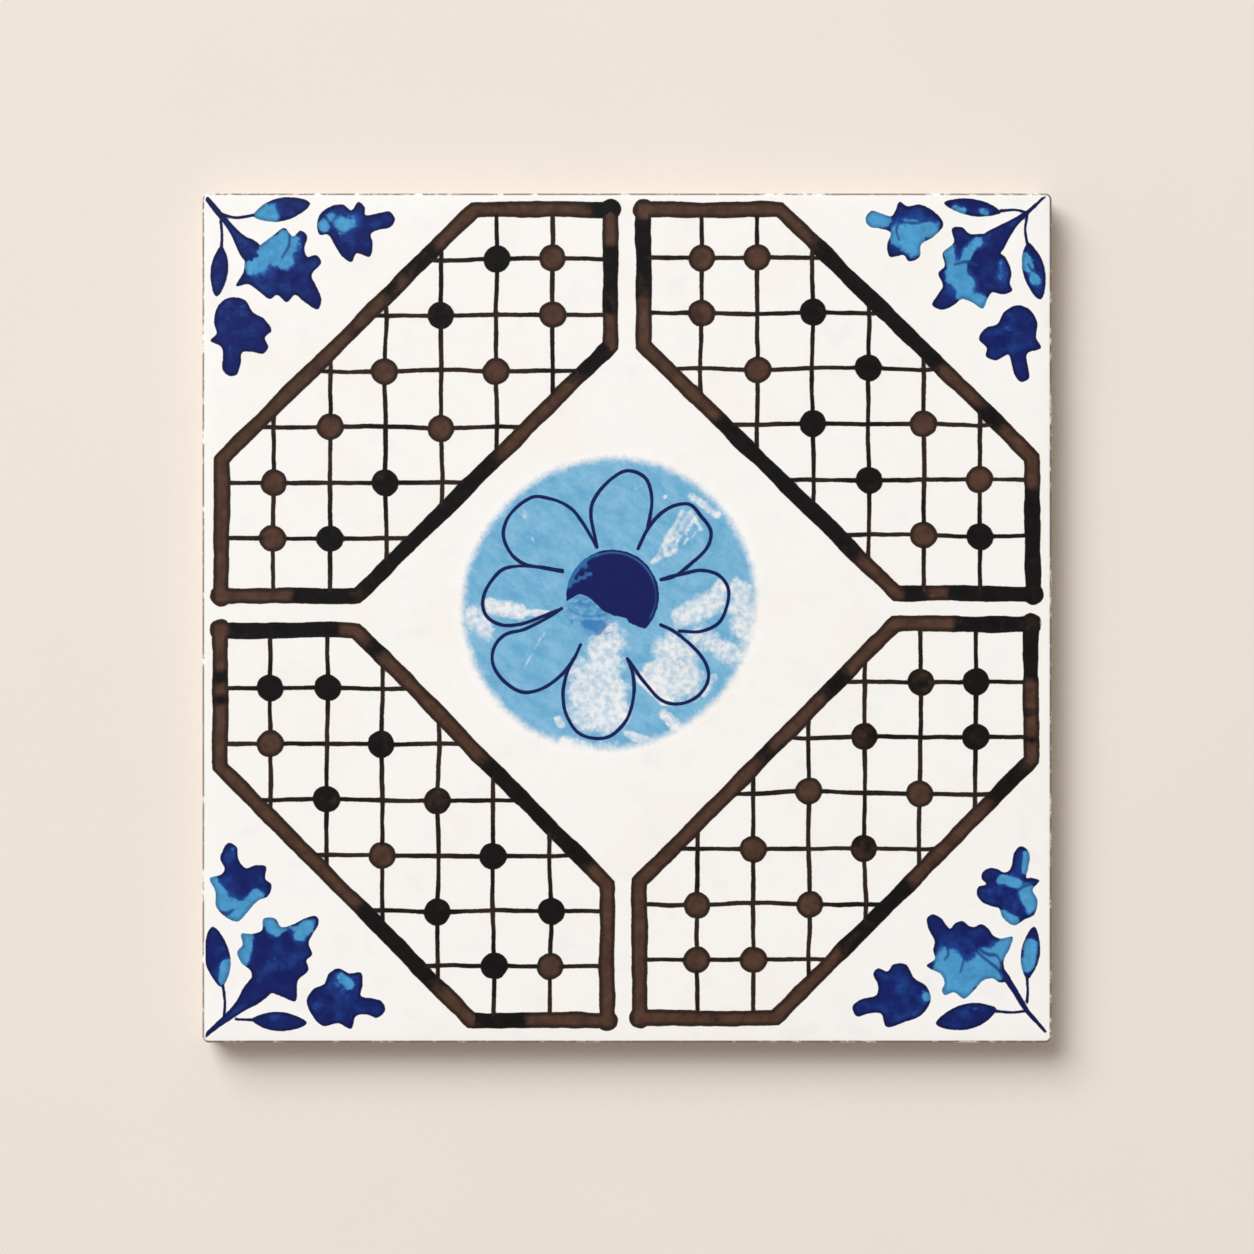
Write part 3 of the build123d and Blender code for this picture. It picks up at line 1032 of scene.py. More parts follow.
def rounded_box(centre, half_x, half_y, radius, steps=5):
    """A rounded rectangle's points, anticlockwise seen from above."""
    found = []
    for number, (sx, sy) in enumerate(((1, -1), (1, 1), (-1, 1), (-1, -1))):
        for step in range(steps + 1):
            angle = math.pi / 2 * (number - 1 + step / steps)
            x = centre[0] + sx * (half_x - radius) + radius * math.cos(angle)
            y = centre[1] + sy * (half_y - radius) + radius * math.sin(angle)
            found.append((x, y))
    return np.array(found)


def lay_pocket(shell, centre, half, sizes):
    """One pocket in the back: its softened mouth, leaning walls and floor. Returns its mouth."""
    depth, lean = sizes.pocket_depth, sizes.pocket_inset
    # Inset from the pocket's mouth, and height
    levels = [
        (-0.45, 0.0),
        (-0.10, 0.0),
        (0.04, 0.08),
        (lean * 0.9, depth - 0.08),
        (lean + 0.12, depth),
        (lean + 0.50, depth),
    ]
    rings = []
    for inset, height in levels:
        plan = rounded_box(centre, half[0] - inset, half[1] - inset, sizes.pocket_corner - inset)
        numbers = shell.add_places(np.column_stack([plan, np.full(len(plan), height)]))
        rings.append((numbers, back_flat(plan)))
    for (lower, flat), (upper, flat_upper) in zip(rings, rings[1:]):
        for i in range(len(lower)):
            j = (i + 1) % len(lower)
            corners = (lower[j], lower[i], upper[i], upper[j])
            shell.add_face(corners, "body", [flat[j], flat[i], flat_upper[i], flat_upper[j]])
    floor, flat = rings[-1]
    shell.add_face(floor[::-1], "body", flat[::-1])
    return rings[0][0]


def lay_back(shell, ring, sizes):
    """The back: a plain border and crossing ribs round shallow pockets."""
    count = sizes.pockets
    spans = [2 * half - 2 * sizes.back_margin for half in (HALF_WIDTH, HALF_LENGTH)]
    pitch = [(span + sizes.rib_width) / count for span in spans]
    half = [(p - sizes.rib_width) / 2 for p in pitch]
    loops = [ring]
    for row in range(count):
        for column in range(count):
            centre = [(k - (count - 1) / 2) * p for k, p in zip((column, row), pitch)]
            loops.append(lay_pocket(shell, centre, half, sizes))
    numbers = [i for loop in loops for i in loop]
    owners = [k for k, loop in enumerate(loops) for _ in loop]
    edges, start = [], 0
    for loop in loops:
        edges += [(start + i, start + (i + 1) % len(loop)) for i in range(len(loop))]
        start += len(loop)
    points = [Vector(shell.places[i][:2]) for i in numbers]
    found, _, faces, origins, _, _ = delaunay_2d_cdt(points, edges, [], 0, 1e-4)
    layout = back_flat(np.array(found))
    for face in faces:
        loops_met = {owners[origins[i][0]] for i in face}
        if len(loops_met) > 1 or 0 in loops_met:
            face = face[::-1]
            corners = [numbers[origins[i][0]] for i in face]
            shell.add_face(corners, "body", [layout[i] for i in face])


FALL_WIDTH = 1.6  # how far in from the arris the glaze falls to the edge, mm
SLOW_WAVE = 26  # length of the slow waves in the glaze, mm
QUICK_WAVE = 9  # length of the quicker ones on them, mm


def face_height(places, sizes):
    """The height of the glazed face: nearly level, with slow waves, falling to its edge."""
    inset = np.minimum(HALF_WIDTH - np.abs(places[:, 0]), HALF_LENGTH - np.abs(places[:, 1]))
    edge = np.exp(-np.maximum(inset - sizes.arris_radius, 0) / FALL_WIDTH)
    slow = np.array([noise.noise((x / SLOW_WAVE, y / SLOW_WAVE, 4.0)) for x, y in places])
    quick = np.array([noise.noise((x / QUICK_WAVE, y / QUICK_WAVE, 9.0)) for x, y in places])
    wave = np.clip(0.5 + 0.5 * slow + 0.12 * quick, 0, 1) * sizes.face_wave
    return THICKNESS - sizes.face_fall * edge - wave * (1 - edge)


ROW_RISE = 0.87  # distance between rows as a share of the spacing along them
UNEVENNESS = 0.2  # how far points stray, as a share of their spacing


def staggered(spacing, reach, centre=(0.0, 0.0), radius=None):
    """Loosely staggered points over a square, or over a disc in it."""
    rise = spacing * ROW_RISE
    found = []
    for row in range(int(2 * reach / rise) + 1):
        for column in range(int(2 * reach / spacing) + 1):
            x = (column + 0.25 + 0.5 * (row % 2)) * spacing - reach
            y = (row + 0.5) * rise - reach
            x += spacing * UNEVENNESS * noise.noise((x, y, 3.0))
            y += spacing * UNEVENNESS * noise.noise((x, y, 8.0))
            if radius is None or math.hypot(x, y) < radius:
                found.append((x + centre[0], y + centre[1]))
    return np.array(found)


def within_ring(places, sizes):
    """Which places lie safely inside the ring where the level face begins."""
    inset_x = HALF_WIDTH - np.abs(places[:, 0])
    inset_y = HALF_LENGTH - np.abs(places[:, 1])
    room = sizes.arris_radius + 0.15
    return (inset_x > room) & (inset_y > room) & (inset_x + inset_y > 2 * room + 0.5)


# Spacing of the face's own points, on plain glaze, on the medallion and inside washes, and
# how near to a drawn line they come, mm
PLAIN_STEP, PLAIN_ROOM = 2.1, 0.7
DISC_STEP, DISC_ROOM = 1.0, 0.35
WASH_STEP, WASH_ROOM = 0.9, 0.35
DISC_SPAN = 36.0  # the medallion's points reach this far from its middle, mm


def lay_face(shell, ring, shapes, washes, sizes):
    """The glazed face, with triangles whose edges follow the drawing, small inside washes."""
    points = [shell.places[i][:2] for i in ring]
    count = len(points)
    edges = [(i, (i + 1) % count) for i in range(count)]
    for shape in shapes:
        for line, closed in shape.guides():
            keep = within_ring(line, sizes)
            order = len(points) + np.cumsum(keep) - 1
            points.extend(line[keep].tolist())
            for i in range(len(line) if closed else len(line) - 1):
                j = (i + 1) % len(line)
                if keep[i] and keep[j]:
                    edges.append((int(order[i]), int(order[j])))
    drawn = kdtree.KDTree(len(points))
    for i, (x, y) in enumerate(points):
        drawn.insert((x, y, 0), i)
    drawn.balance()
    reach = max(HALF_WIDTH, HALF_LENGTH)
    plain = staggered(PLAIN_STEP, reach)
    plain = plain[np.linalg.norm(plain - DISC_CENTRE, axis=1) > DISC_SPAN]
    disc = staggered(DISC_STEP, DISC_SPAN, DISC_CENTRE, DISC_SPAN)
    washed = staggered(WASH_STEP, reach)
    washed = washed[sampled(washes, washed)[0] > RIM]
    for places, room in ((plain, PLAIN_ROOM), (disc, DISC_ROOM), (washed, WASH_ROOM)):
        places = places[within_ring(places, sizes)]
        points.extend(p for p in places.tolist() if drawn.find((*p, 0))[2] > room)
    points = [Vector(p) for p in points]
    found, _, faces, origins, _, _ = delaunay_2d_cdt(points, edges, [], 0, 1e-3)
    places = np.array(found)
    numbers = {}
    for i, sources in enumerate(origins):
        own = [s for s in sources if s < count]
        if own:
            numbers[i] = ring[own[0]]
    inner = [i for i in range(len(places)) if i not in numbers]
    heights = face_height(places[inner], sizes)
    numbers.update(zip(inner, shell.add_places(np.column_stack([places[inner], heights]))))
    layout = face_flat(places)
    for face in faces:
        shell.add_face([numbers[i] for i in face], "glaze", [layout[i] for i in face])


ZONES = ["body", "edge", "glaze", "trellis", "sprig", "medallion"]
FACE_DEPTH = 0.3  # places within this of the top are on the face, mm
INK_REACH = 0.3  # an ink's own material starts this far outside its edge, mm
DISC_REACH = 1.6  # and further outside the sponged disc's ragged edge


def print_inks(shell, inks):
    """Values for the shaders at each place, and the zone of each face that an ink touches."""
    places = np.array(shell.places)
    on_face = places[:, 2] > THICKNESS - FACE_DEPTH
    spots = places[on_face, :2]
    values = {}
    for name, (shapes, tone_name) in inks.items():
        inside, tone = np.full(len(places), -FAR), np.zeros(len(places))
        inside[on_face], tone[on_face] = sampled(shapes, spots)
        values[name] = inside
        if tone_name:
            values[tone_name] = tone
    for name, marks in {"disc_wear": DISC_RUBS, "eye_wear": EYE_RUBS, "haze": HAZE}.items():
        marks = np.array(marks)
        marks[:, :4] += DAISY_CENTRE * 2
        values[name] = np.zeros(len(places))
        values[name][on_face] = blotted(spots, marks)
    near = {
        "trellis": values["trellis"] + INK_REACH,
        "sprig": values["sprig"] + INK_REACH,
        "medallion": np.maximum(values["disc"] + DISC_REACH, values["outline"] + INK_REACH),
    }
    for k, face in enumerate(shell.faces):
        if shell.zones[k] == "glaze":
            for zone, reach in near.items():
                if max(reach[i] for i in face) > 0:
                    shell.zones[k] = zone
    return values


def tile_mesh(scene):
    """The whole tile as one closed mesh with its zones, its flat and its inks."""
    sizes = in_mm(scene.tile_pressing)
    shell = Shell()
    foot, top = lay_sides(shell, sizes)
    lay_back(shell, foot, sizes)
    medallion = medallion_shapes(in_mm(scene.tile_medallion))
    sprigs, veins = sprig_shapes()
    inks = {
        "trellis": (trellis_shapes(in_mm(scene.tile_trellis)), "black"),
        "sprig": (sprigs, "pale"),
        "vein": (veins, None),
        **{name: (shapes, None) for name, shapes in medallion.items()},
    }
    lay_face(shell, top, [shape for shapes, _ in inks.values() for shape in shapes], sprigs, sizes)
    values = print_inks(shell, inks)
    mesh = bpy.data.meshes.new(PIECE)
    mesh.from_pydata([tuple(c * MM for c in place) for place in shell.places], [], shell.faces)
    mesh.polygons.foreach_set("material_index", [ZONES.index(zone) for zone in shell.zones])
    mesh.polygons.foreach_set("use_smooth", [True] * len(shell.faces))
    layout = mesh.uv_layers.new(name="OFBake")
    flat = [float(c) for face in shell.flat for place in face for c in place]
    layout.data.foreach_set("uv", flat)
    for name, numbers in values.items():
        attribute = mesh.attributes.new(name, "FLOAT", "POINT")
        attribute.data.foreach_set("value", numbers.astype(np.float32))
    mesh.update()
    return mesh


# Shader nodes


class Graph:
    """Adds nodes to one node tree. A value given to a node is a number, a colour or a socket."""

    def __init__(self, tree):
        self.tree = tree

    def wire(self, value, socket):
        """Links a socket to the given one, or sets its value."""
        if isinstance(value, bpy.types.NodeSocket):
            self.tree.links.new(value, socket)
        elif value is not None:
            if socket.type == "RGBA" and len(value) == 3:
                value = (*value, 1.0)
            socket.default_value = value

    def node(self, kind, inputs=(), **settings):
        made = self.tree.nodes.new(kind)
        for name, value in settings.items():
            setattr(made, name, value)
        for name, value in dict(inputs).items():
            self.wire(value, made.inputs[name])
        return made

    def math(self, operation, first, second=None, third=None):
        made = self.node("ShaderNodeMath", operation=operation)
        for value, socket in zip((first, second, third), made.inputs):
            self.wire(value, socket)
        return made.outputs[0]

    def times(self, first, second):
        return self.math("MULTIPLY", first, second)

    def plus(self, first, second):
        return self.math("ADD", first, second)

    def minus(self, first, second):
        return self.math("SUBTRACT", first, second)

    def times_plus(self, first, second, third):
        """The first times the second, plus the third."""
        return self.math("MULTIPLY_ADD", first, second, third)

    def smooth(self, value, start, end, to_start=0.0, to_end=1.0):
        """The value's way from start to end, eased and held at both ends."""
        made = self.node("ShaderNodeMapRange", interpolation_type="SMOOTHSTEP")
        names = ("Value", "From Min", "From Max", "To Min", "To Max")
        for given, name in zip((value, start, end, to_start, to_end), names):
            self.wire(given, made.inputs[name])
        return made.outputs["Result"]

    def mix(self, amount, first, second, blend="MIX"):
        """A colour between two colours."""
        made = self.node("ShaderNodeMix", data_type="RGBA", blend_type=blend)
        for value, index in ((amount, 0), (first, 6), (second, 7)):
            self.wire(value, made.inputs[index])
        return made.outputs[2]

    def between(self, amount, first, second):
        """A number between two numbers."""
        made = self.node("ShaderNodeMix", data_type="FLOAT")
        for value, index in ((amount, 0), (first, 2), (second, 3)):
            self.wire(value, made.inputs[index])
        return made.outputs[0]

    def noise(self, place, scale, detail=2.0, roughness=0.5, stretch=None):
        """Even noise about a half, with features of one over the scale, in mm."""
        if stretch:
            turn, length_share = stretch
            inputs = {"Vector": place, "Rotation": (0, 0, turn), "Scale": (1, length_share, 1)}
            place = self.node("ShaderNodeMapping", inputs, vector_type="TEXTURE").outputs[0]
        inputs = {"Vector": place, "Scale": scale, "Detail": detail, "Roughness": roughness}
        return self.node("ShaderNodeTexNoise", inputs).outputs[0]

    def attribute(self, name):
        return self.node("ShaderNodeAttribute", attribute_name=name).outputs["Fac"]

    def place(self):
        """The place on the tile, in mm."""
        coordinates = self.node("ShaderNodeTexCoord").outputs["Object"]
        made = self.node("ShaderNodeVectorMath", operation="SCALE")
        self.wire(coordinates, made.inputs[0])
        self.wire(1 / MM, made.inputs["Scale"])
        return made.outputs[0]

    def group(self, name, **inputs):
        made = self.node("ShaderNodeGroup", node_tree=bpy.data.node_groups[name])
        for socket, value in inputs.items():
            self.wire(value, made.inputs[socket.replace("_", " ")])
        return made.outputs


SOCKETS = {"value": "NodeSocketFloat", "colour": "NodeSocketColor", "place": "NodeSocketVector"}


def new_group(name, inputs, outputs):
    """A node group with these sockets. Returns its graph, its inputs and its outputs."""
    tree = bpy.data.node_groups.new(name, "ShaderNodeTree")
    for way, sockets in (("INPUT", inputs), ("OUTPUT", outputs)):
        for socket, kind in sockets.items():
            tree.interface.new_socket(name=socket, in_out=way, socket_type=SOCKETS[kind])
    graph = Graph(tree)
    return graph, graph.node("NodeGroupInput").outputs, graph.node("NodeGroupOutput").inputs


def make_glaze_group():
    """White glaze with faint cream and grey clouds, and cream where print stains it."""
    graph, given, made = new_group(
        "Glaze ground",
        {"Place": "place", "Glaze": "colour", "Cream": "colour", "Grey": "colour",
         "Stain": "value", "Roughness": "value"},
        {"Color": "colour", "Roughness": "value", "Height": "value"},
    )
    place = given["Place"]
    cream = graph.smooth(graph.noise(place, 0.06, 3.0, 0.6), 0.46, 0.70)
    grey = graph.smooth(graph.noise(place, 0.11, 3.0, 0.6), 0.54, 0.74)
    patches = graph.smooth(graph.noise(place, 0.2), 0.35, 0.6)
    tint = graph.mix(graph.times(cream, 0.6), given["Glaze"], given["Cream"])
    tint = graph.mix(graph.times(grey, 0.6), tint, given["Grey"])
    tint = graph.mix(graph.times(given["Stain"], patches), tint, given["Cream"])
    graph.wire(tint, made["Color"])
    uneven = graph.smooth(graph.noise(place, 0.5), 0.3, 0.7, -0.04, 0.04)
    graph.wire(graph.plus(given["Roughness"], uneven), made["Roughness"])
    peel = graph.times(graph.noise(place, 0.9, 3.0), 0.5)
    graph.wire(graph.plus(graph.noise(place, 0.25), peel), made["Height"])


def make_edge_group():
    """Where a brush mark covers, from how far inside its edge a place is, and its rim."""
    graph, given, made = new_group(
        "Brush edge",
        {"Place": "place", "Inside": "value", "Rag": "value", "Softness": "value",
         "Rim Width": "value"},
        {"Coverage": "value", "Rim": "value"},
    )
    fine = graph.noise(given["Place"], 1.4, 2.0)
    slow = graph.noise(given["Place"], 0.45, 2.0)
    wander = graph.minus(graph.plus(fine, slow), 1.0)
    inside = graph.times_plus(wander, given["Rag"], given["Inside"])
    outside = graph.times(given["Softness"], -1.0)
    graph.wire(graph.smooth(inside, outside, given["Softness"]), made["Coverage"])
    full = graph.times(given["Rim Width"], 0.3)
    graph.wire(graph.smooth(inside, full, given["Rim Width"], 1.0, 0.0), made["Rim"])


def make_wash_group():
    """A second wash over a first, with ragged watery edges where its share passes a half."""
    graph, given, made = new_group(
        "Patchy wash",
        {"Place": "place", "First": "colour", "Second": "colour", "Share": "value",
         "Grain": "value", "Spread": "value", "Softness": "value"},
        {"Color": "colour", "Mask": "value"},
    )
    grain = graph.minus(graph.noise(given["Place"], given["Grain"], 4.0, 0.6), 0.5)
    value = graph.times_plus(grain, given["Spread"], given["Share"])
    start = graph.minus(0.5, given["Softness"])
    end = graph.plus(0.5, given["Softness"])
    mask = graph.smooth(value, start, end)
    graph.wire(graph.mix(mask, given["First"], given["Second"]), made["Color"])
    graph.wire(mask, made["Mask"])


def make_mottle_group():
    """A colour made uneven, lighter and darker, by grain of a given size."""
    graph, given, made = new_group(
        "Mottle",
        {"Place": "place", "Color": "colour", "Grain": "value", "Amount": "value"},
        {"Color": "colour"},
    )
    grain = graph.minus(graph.noise(given["Place"], given["Grain"], 3.0, 0.6), 0.5)
    lift = graph.times_plus(grain, given["Amount"], 1.0)
    tint = graph.node("ShaderNodeCombineColor", {"Red": lift, "Green": lift, "Blue": lift})
    graph.wire(graph.mix(1.0, given["Color"], tint.outputs[0], "MULTIPLY"), made["Color"])


def make_rub_group():
    """How much of a print is left where wear eats at it in ragged specks."""
    graph, given, made = new_group(
        "Rubbed print",
        {"Place": "place", "Wear": "value", "Grain": "value", "Raggedness": "value",
         "Specks": "value"},
        {"Left": "value"},
    )
    grain = graph.minus(graph.noise(given["Place"], given["Grain"], 5.0, 0.7), 0.5)
    value = graph.times_plus(grain, given["Raggedness"], given["Wear"])
    worn = graph.smooth(value, 0.24, 0.66)
    fine = graph.noise(given["Place"], 0.75, 2.5, 0.5)
    specks = graph.smooth(fine, 0.34, 0.68, 0.17, given["Specks"])
    specks = graph.times(specks, graph.smooth(value, 0.75, 1.15, 1.0, 0.2))
    bare = graph.times(worn, graph.minus(1.0, specks))
    graph.wire(graph.minus(1.0, bare), made["Left"])


# Materials


def new_material(name):
    """An empty material. Returns it with its graph."""
    material = bpy.data.materials.new(name)
    material.use_nodes = True
    material.node_tree.nodes.clear()
    return material, Graph(material.node_tree)


def fire(graph, base, rough, height, relief, coat=0.0, specular=0.5):
    """Ends a material with its shader and a bump of this relief, in mm."""
    bump = graph.node("ShaderNodeBump", {"Height": height, "Distance": relief * MM})
    shader = graph.node(
        "ShaderNodeBsdfPrincipled",
        {
            "Base Color": base,
            "Roughness": rough,
            "Normal": bump.outputs[0],
            "Specular IOR Level": specular,
            "Coat Weight": coat,
            "Coat Roughness": 0.2,
        },
    )
    output = graph.node("ShaderNodeOutputMaterial")
    graph.wire(shader.outputs[0], output.inputs["Surface"])


def glaze_ground(graph, place, finish, stain=0.0):
    """The glaze's colour, roughness and height."""
    return graph.group(
        "Glaze ground",
        Place=place,
        Glaze=finish.glaze,
        Cream=finish.cream,
        Grey=finish.grey,
        Stain=stain,
        Roughness=finish.roughness,
    )


def mottled(graph, place, tint, grain, amount):
    """The colour made uneven by grain of this size."""
    return graph.group("Mottle", Place=place, Color=tint, Grain=grain, Amount=amount)["Color"]


def brushed(graph, place, ink, rag, softness, rim_width):
    """The coverage and the rim of one ink's brush marks."""
    return graph.group(
        "Brush edge",
        Place=place,
        Inside=graph.attribute(ink),
        Rag=rag,
        Softness=softness,
        Rim_Width=rim_width,
    )


def washed_over(graph, place, first, second, share, grain, spread, softness):
    """The colour and the mask of a second wash over a first."""
    return graph.group(
        "Patchy wash",
        Place=place,
        First=first,
        Second=second,
        Share=share,
        Grain=grain,
        Spread=spread,
        Softness=softness,
    )


def rubbed(graph, place, wear, grain, raggedness, specks):
    """How much of a print its wear has left."""
    given = {"Wear": wear, "Grain": grain, "Raggedness": raggedness, "Specks": specks}
    return graph.group("Rubbed print", Place=place, **given)["Left"]


def make_body_material(finish):
    """Bare fired porcelain: matt, with fine grit and a little dust."""
    material, graph = new_material("Bare porcelain")
    place = graph.place()
    grit = graph.noise(place, 2.6, 3.0, 0.7)
    tint = mottled(graph, place, finish.body, 0.12, 0.12)
    tint = mottled(graph, place, tint, 1.7, 0.16)
    dusty = graph.smooth(graph.noise(place, 0.35, 5.0, 0.7), 0.6, 0.78)
    tint = graph.mix(graph.times(dusty, 0.22), tint, finish.dust)
    rough = graph.smooth(grit, 0.3, 0.7, 0.72, 0.86)
    fire(graph, tint, rough, grit, 0.05, specular=0.35)
    return material


GLAZE_LINE = 3.2  # the glaze ends at most this far below the face, mm
GLAZE_DRIP = 2.4  # and higher by up to this
WORN_START = (0.95, 0.8)  # the worn band fades in between these depths below the face, mm
WORN_END = (0.16, 0.11)  # and out between these


def make_edge_material(finish):
    """Glaze that runs over the arris and down the side to a ragged line."""
    material, graph = new_material("Glazed edge")
    place = graph.place()
    height = graph.node("ShaderNodeSeparateXYZ", {"Vector": place}).outputs["Z"]
    ground = glaze_ground(graph, place, finish)
    drip = graph.noise(place, 0.3, 4.0, 0.6)
    line = graph.times_plus(drip, GLAZE_DRIP, THICKNESS - GLAZE_LINE)
    below, above = graph.minus(line, 0.25), graph.plus(line, 0.25)
    glazed = graph.smooth(height, below, above)
    body = mottled(graph, place, finish.body, 1.7, 0.16)
    tint = graph.mix(glazed, body, ground["Color"])
    lower = graph.smooth(height, *(THICKNESS - depth for depth in WORN_START))
    upper = graph.smooth(height, *(THICKNESS - depth for depth in WORN_END), 1.0, 0.0)
    dashes = graph.smooth(graph.noise(place, 0.17, 5.0, 0.75), 0.37, 0.5, 0.12)
    worn = graph.times(graph.times(lower, upper), dashes)
    tint = graph.mix(graph.times(worn, 0.85), tint, finish.dust)
    rough = graph.between(glazed, 0.75, ground["Roughness"])
    rough = graph.between(worn, rough, 0.6)
    fire(graph, tint, rough, graph.plus(ground["Height"], glazed), 0.02, coat=0.15)
    return material


def stain_beside(graph, ink):
    """How strongly print stains the glaze just outside it."""
    return graph.smooth(graph.attribute(ink), -1.6, 0.0, 0.0, 0.55)


def make_glaze_material(finish):
    """The unprinted glaze of the face."""
    material, graph = new_material("White glaze")
    place = graph.place()
    ground = glaze_ground(graph, place, finish, stain_beside(graph, "trellis"))
    fire(graph, ground["Color"], ground["Roughness"], ground["Height"], 0.012, coat=0.15)
    return material


def inked(graph, ground, coverage, ink):
    """Ink over glaze: the colour, the roughness and the height."""
    tint = graph.mix(coverage, ground["Color"], ink)
    half_cover = graph.times(coverage, 0.5)
    rough = graph.between(half_cover, ground["Roughness"], 0.45)
    height = graph.times_plus(coverage, 0.9, ground["Height"])
    return tint, rough, height


def make_trellis_material(finish, colours):
    """Brown brush work, gone over in black in places, with dark rims."""
    material, graph = new_material("Trellis ink")
    place = graph.place()
    ground = glaze_ground(graph, place, finish, stain_beside(graph, "trellis"))
    edge = brushed(graph, place, "trellis", rag=0.16, softness=0.12, rim_width=1.35)
    slow = graph.times_plus(graph.noise(place, 0.1), 1.2, -0.6)
    share_black = graph.plus(graph.attribute("black"), slow)
    wash = washed_over(
        graph, place, colours.brown, colours.black, share_black,
        grain=0.4, spread=1.1, softness=0.42,
    )
    ink = mottled(graph, place, wash["Color"], 0.35, 1.5)
    dark = graph.mix(0.78, wash["Color"], colours.black)
    ink = graph.mix(graph.times(edge["Rim"], 0.9), ink, dark)
    fire(graph, *inked(graph, ground, edge["Coverage"], ink), 0.015, specular=0.2)
    return material


def make_sprig_material(finish, colours):
    """Cobalt washes: full and navy at the rims, thin and sky blue in patches."""
    material, graph = new_material("Sprig ink")
    place = graph.place()
    ground = glaze_ground(graph, place, finish)
    edge = brushed(graph, place, "sprig", rag=0.2, softness=0.12, rim_width=1.1)
    pale = graph.attribute("pale")
    share_middle = graph.times_plus(pale, 0.5, 0.28)
    thin = washed_over(
        graph, place, colours.navy, colours.cobalt, share_middle,
        grain=0.24, spread=1.3, softness=0.32,
    )
    shore = graph.mix(0.5, colours.cobalt, colours.sky)
    for second, offset in ((colours.cobalt, 0.1), (shore, 0.0), (colours.sky, -0.12)):
        share_pale = graph.plus(pale, offset)
        thin = washed_over(
            graph, place, thin["Color"], second, share_pale, grain=0.36, spread=1.6, softness=0.11
        )
    ink = mottled(graph, place, thin["Color"], 0.5, 0.9)
    vein = brushed(graph, place, "vein", rag=0.2, softness=0.34, rim_width=0.5)
    fuller = graph.mix(0.4, colours.navy, colours.cobalt)
    ink = graph.mix(graph.times(vein["Coverage"], 0.85), ink, fuller)
    rim = graph.times(edge["Rim"], graph.between(thin["Mask"], 0.85, 0.35))
    ink = graph.mix(rim, ink, colours.rim)
    fire(graph, *inked(graph, ground, edge["Coverage"], ink), 0.015, specular=0.2)
    return material


def make_medallion_material(finish, colours):
    """A sponged and rubbed light blue disc, a navy outline and the daisy's navy eye."""
    material, graph = new_material("Medallion ink")
    place = graph.place()
    ground = glaze_ground(graph, place, finish)
    disc = brushed(graph, place, "disc", rag=1.3, softness=1.35, rim_width=3.0)
    sponge = graph.noise(place, 0.2, 6.0, 0.7, stretch=(-0.7, 0.6))
    blue = graph.mix(graph.smooth(sponge, 0.28, 0.72), colours.disc, colours.deep)
    wear = graph.times_plus(disc["Rim"], 0.2, graph.attribute("disc_wear"))
    left = rubbed(graph, place, wear, grain=0.34, raggedness=1.2, specks=0.58)
    cover = graph.times(disc["Coverage"], left)
    tint, rough, height = inked(graph, ground, cover, blue)
    streaks = graph.smooth(graph.noise(place, 0.5, 4.0, 0.6, stretch=(0.2, 0.4)), 0.36, 0.6)
    haze = graph.times(graph.attribute("haze"), streaks)
    tint = graph.mix(graph.times(haze, 0.7), tint, colours.smear)
    ghost = brushed(graph, place, "ghost", rag=0.9, softness=0.5, rim_width=0.6)
    tint = graph.mix(graph.times(ghost["Coverage"], 0.85), tint, colours.smear)
    eye = brushed(graph, place, "eye", rag=0.35, softness=0.12, rim_width=0.5)
    wear = graph.attribute("eye_wear")
    kept = rubbed(graph, place, wear, grain=0.7, raggedness=0.5, specks=0.0)
    inside = graph.attribute("eye")
    gap = graph.times(graph.smooth(inside, 0.35, 0.6), graph.smooth(inside, 0.75, 1.1, 1.0, 0.0))
    gap = graph.times(gap, graph.smooth(graph.noise(place, 0.12), 0.4, 0.6, 0.2, 0.7))
    both = {0: place, 1: (*EYE_UP, 0.0)}
    up = graph.node("ShaderNodeVectorMath", both, operation="DOT_PRODUCT").outputs["Value"]
    gap = graph.times(gap, graph.smooth(up, *EYE_RING_FADE))
    thin = graph.math("MAXIMUM", gap, graph.minus(1.0, kept))
    thin = graph.times(thin, 0.75)
    tint = graph.mix(eye["Coverage"], tint, graph.mix(thin, colours.eye, colours.smear))
    outline = brushed(graph, place, "outline", rag=0.1, softness=0.09, rim_width=0.3)
    tint = graph.mix(outline["Coverage"], tint, colours.line)
    fire(graph, tint, rough, height, 0.015, specular=0.25)
    return material


def make_ground_material(ground):
    """Plain matt ground with the faintest clouding."""
    material, graph = new_material("Pale ground")
    place = graph.place()
    tint = mottled(graph, place, ground, 0.012, 0.05)
    tint = mottled(graph, place, tint, 0.6, 0.03)
    fire(graph, tint, 1.0, graph.noise(place, 0.8, 3.0), 0.02, specular=0.0)
    return material


# Operators

# The soft lamp's place and width in metres, the tints of the lights and the width of the
# camera's sensor in mm
KEY_PLACE = (-2.95, 3.7, 4.2)
KEY_WIDTH = 4.5
KEY_TINT = (0.94, 0.97, 1.0)
SKY_TINT = (1.0, 0.93, 0.83)
SKY_HOLE = (0.8, 0.95)  # the sky darkens between these heights of the look's direction
SKY_ABOVE = 0.08  # to this strength
SENSOR_WIDTH = 36.0


def show(context, name, data):
    """A new object in the scene."""
    made = bpy.data.objects.new(name, data)
    context.scene.collection.objects.link(made)
    return made


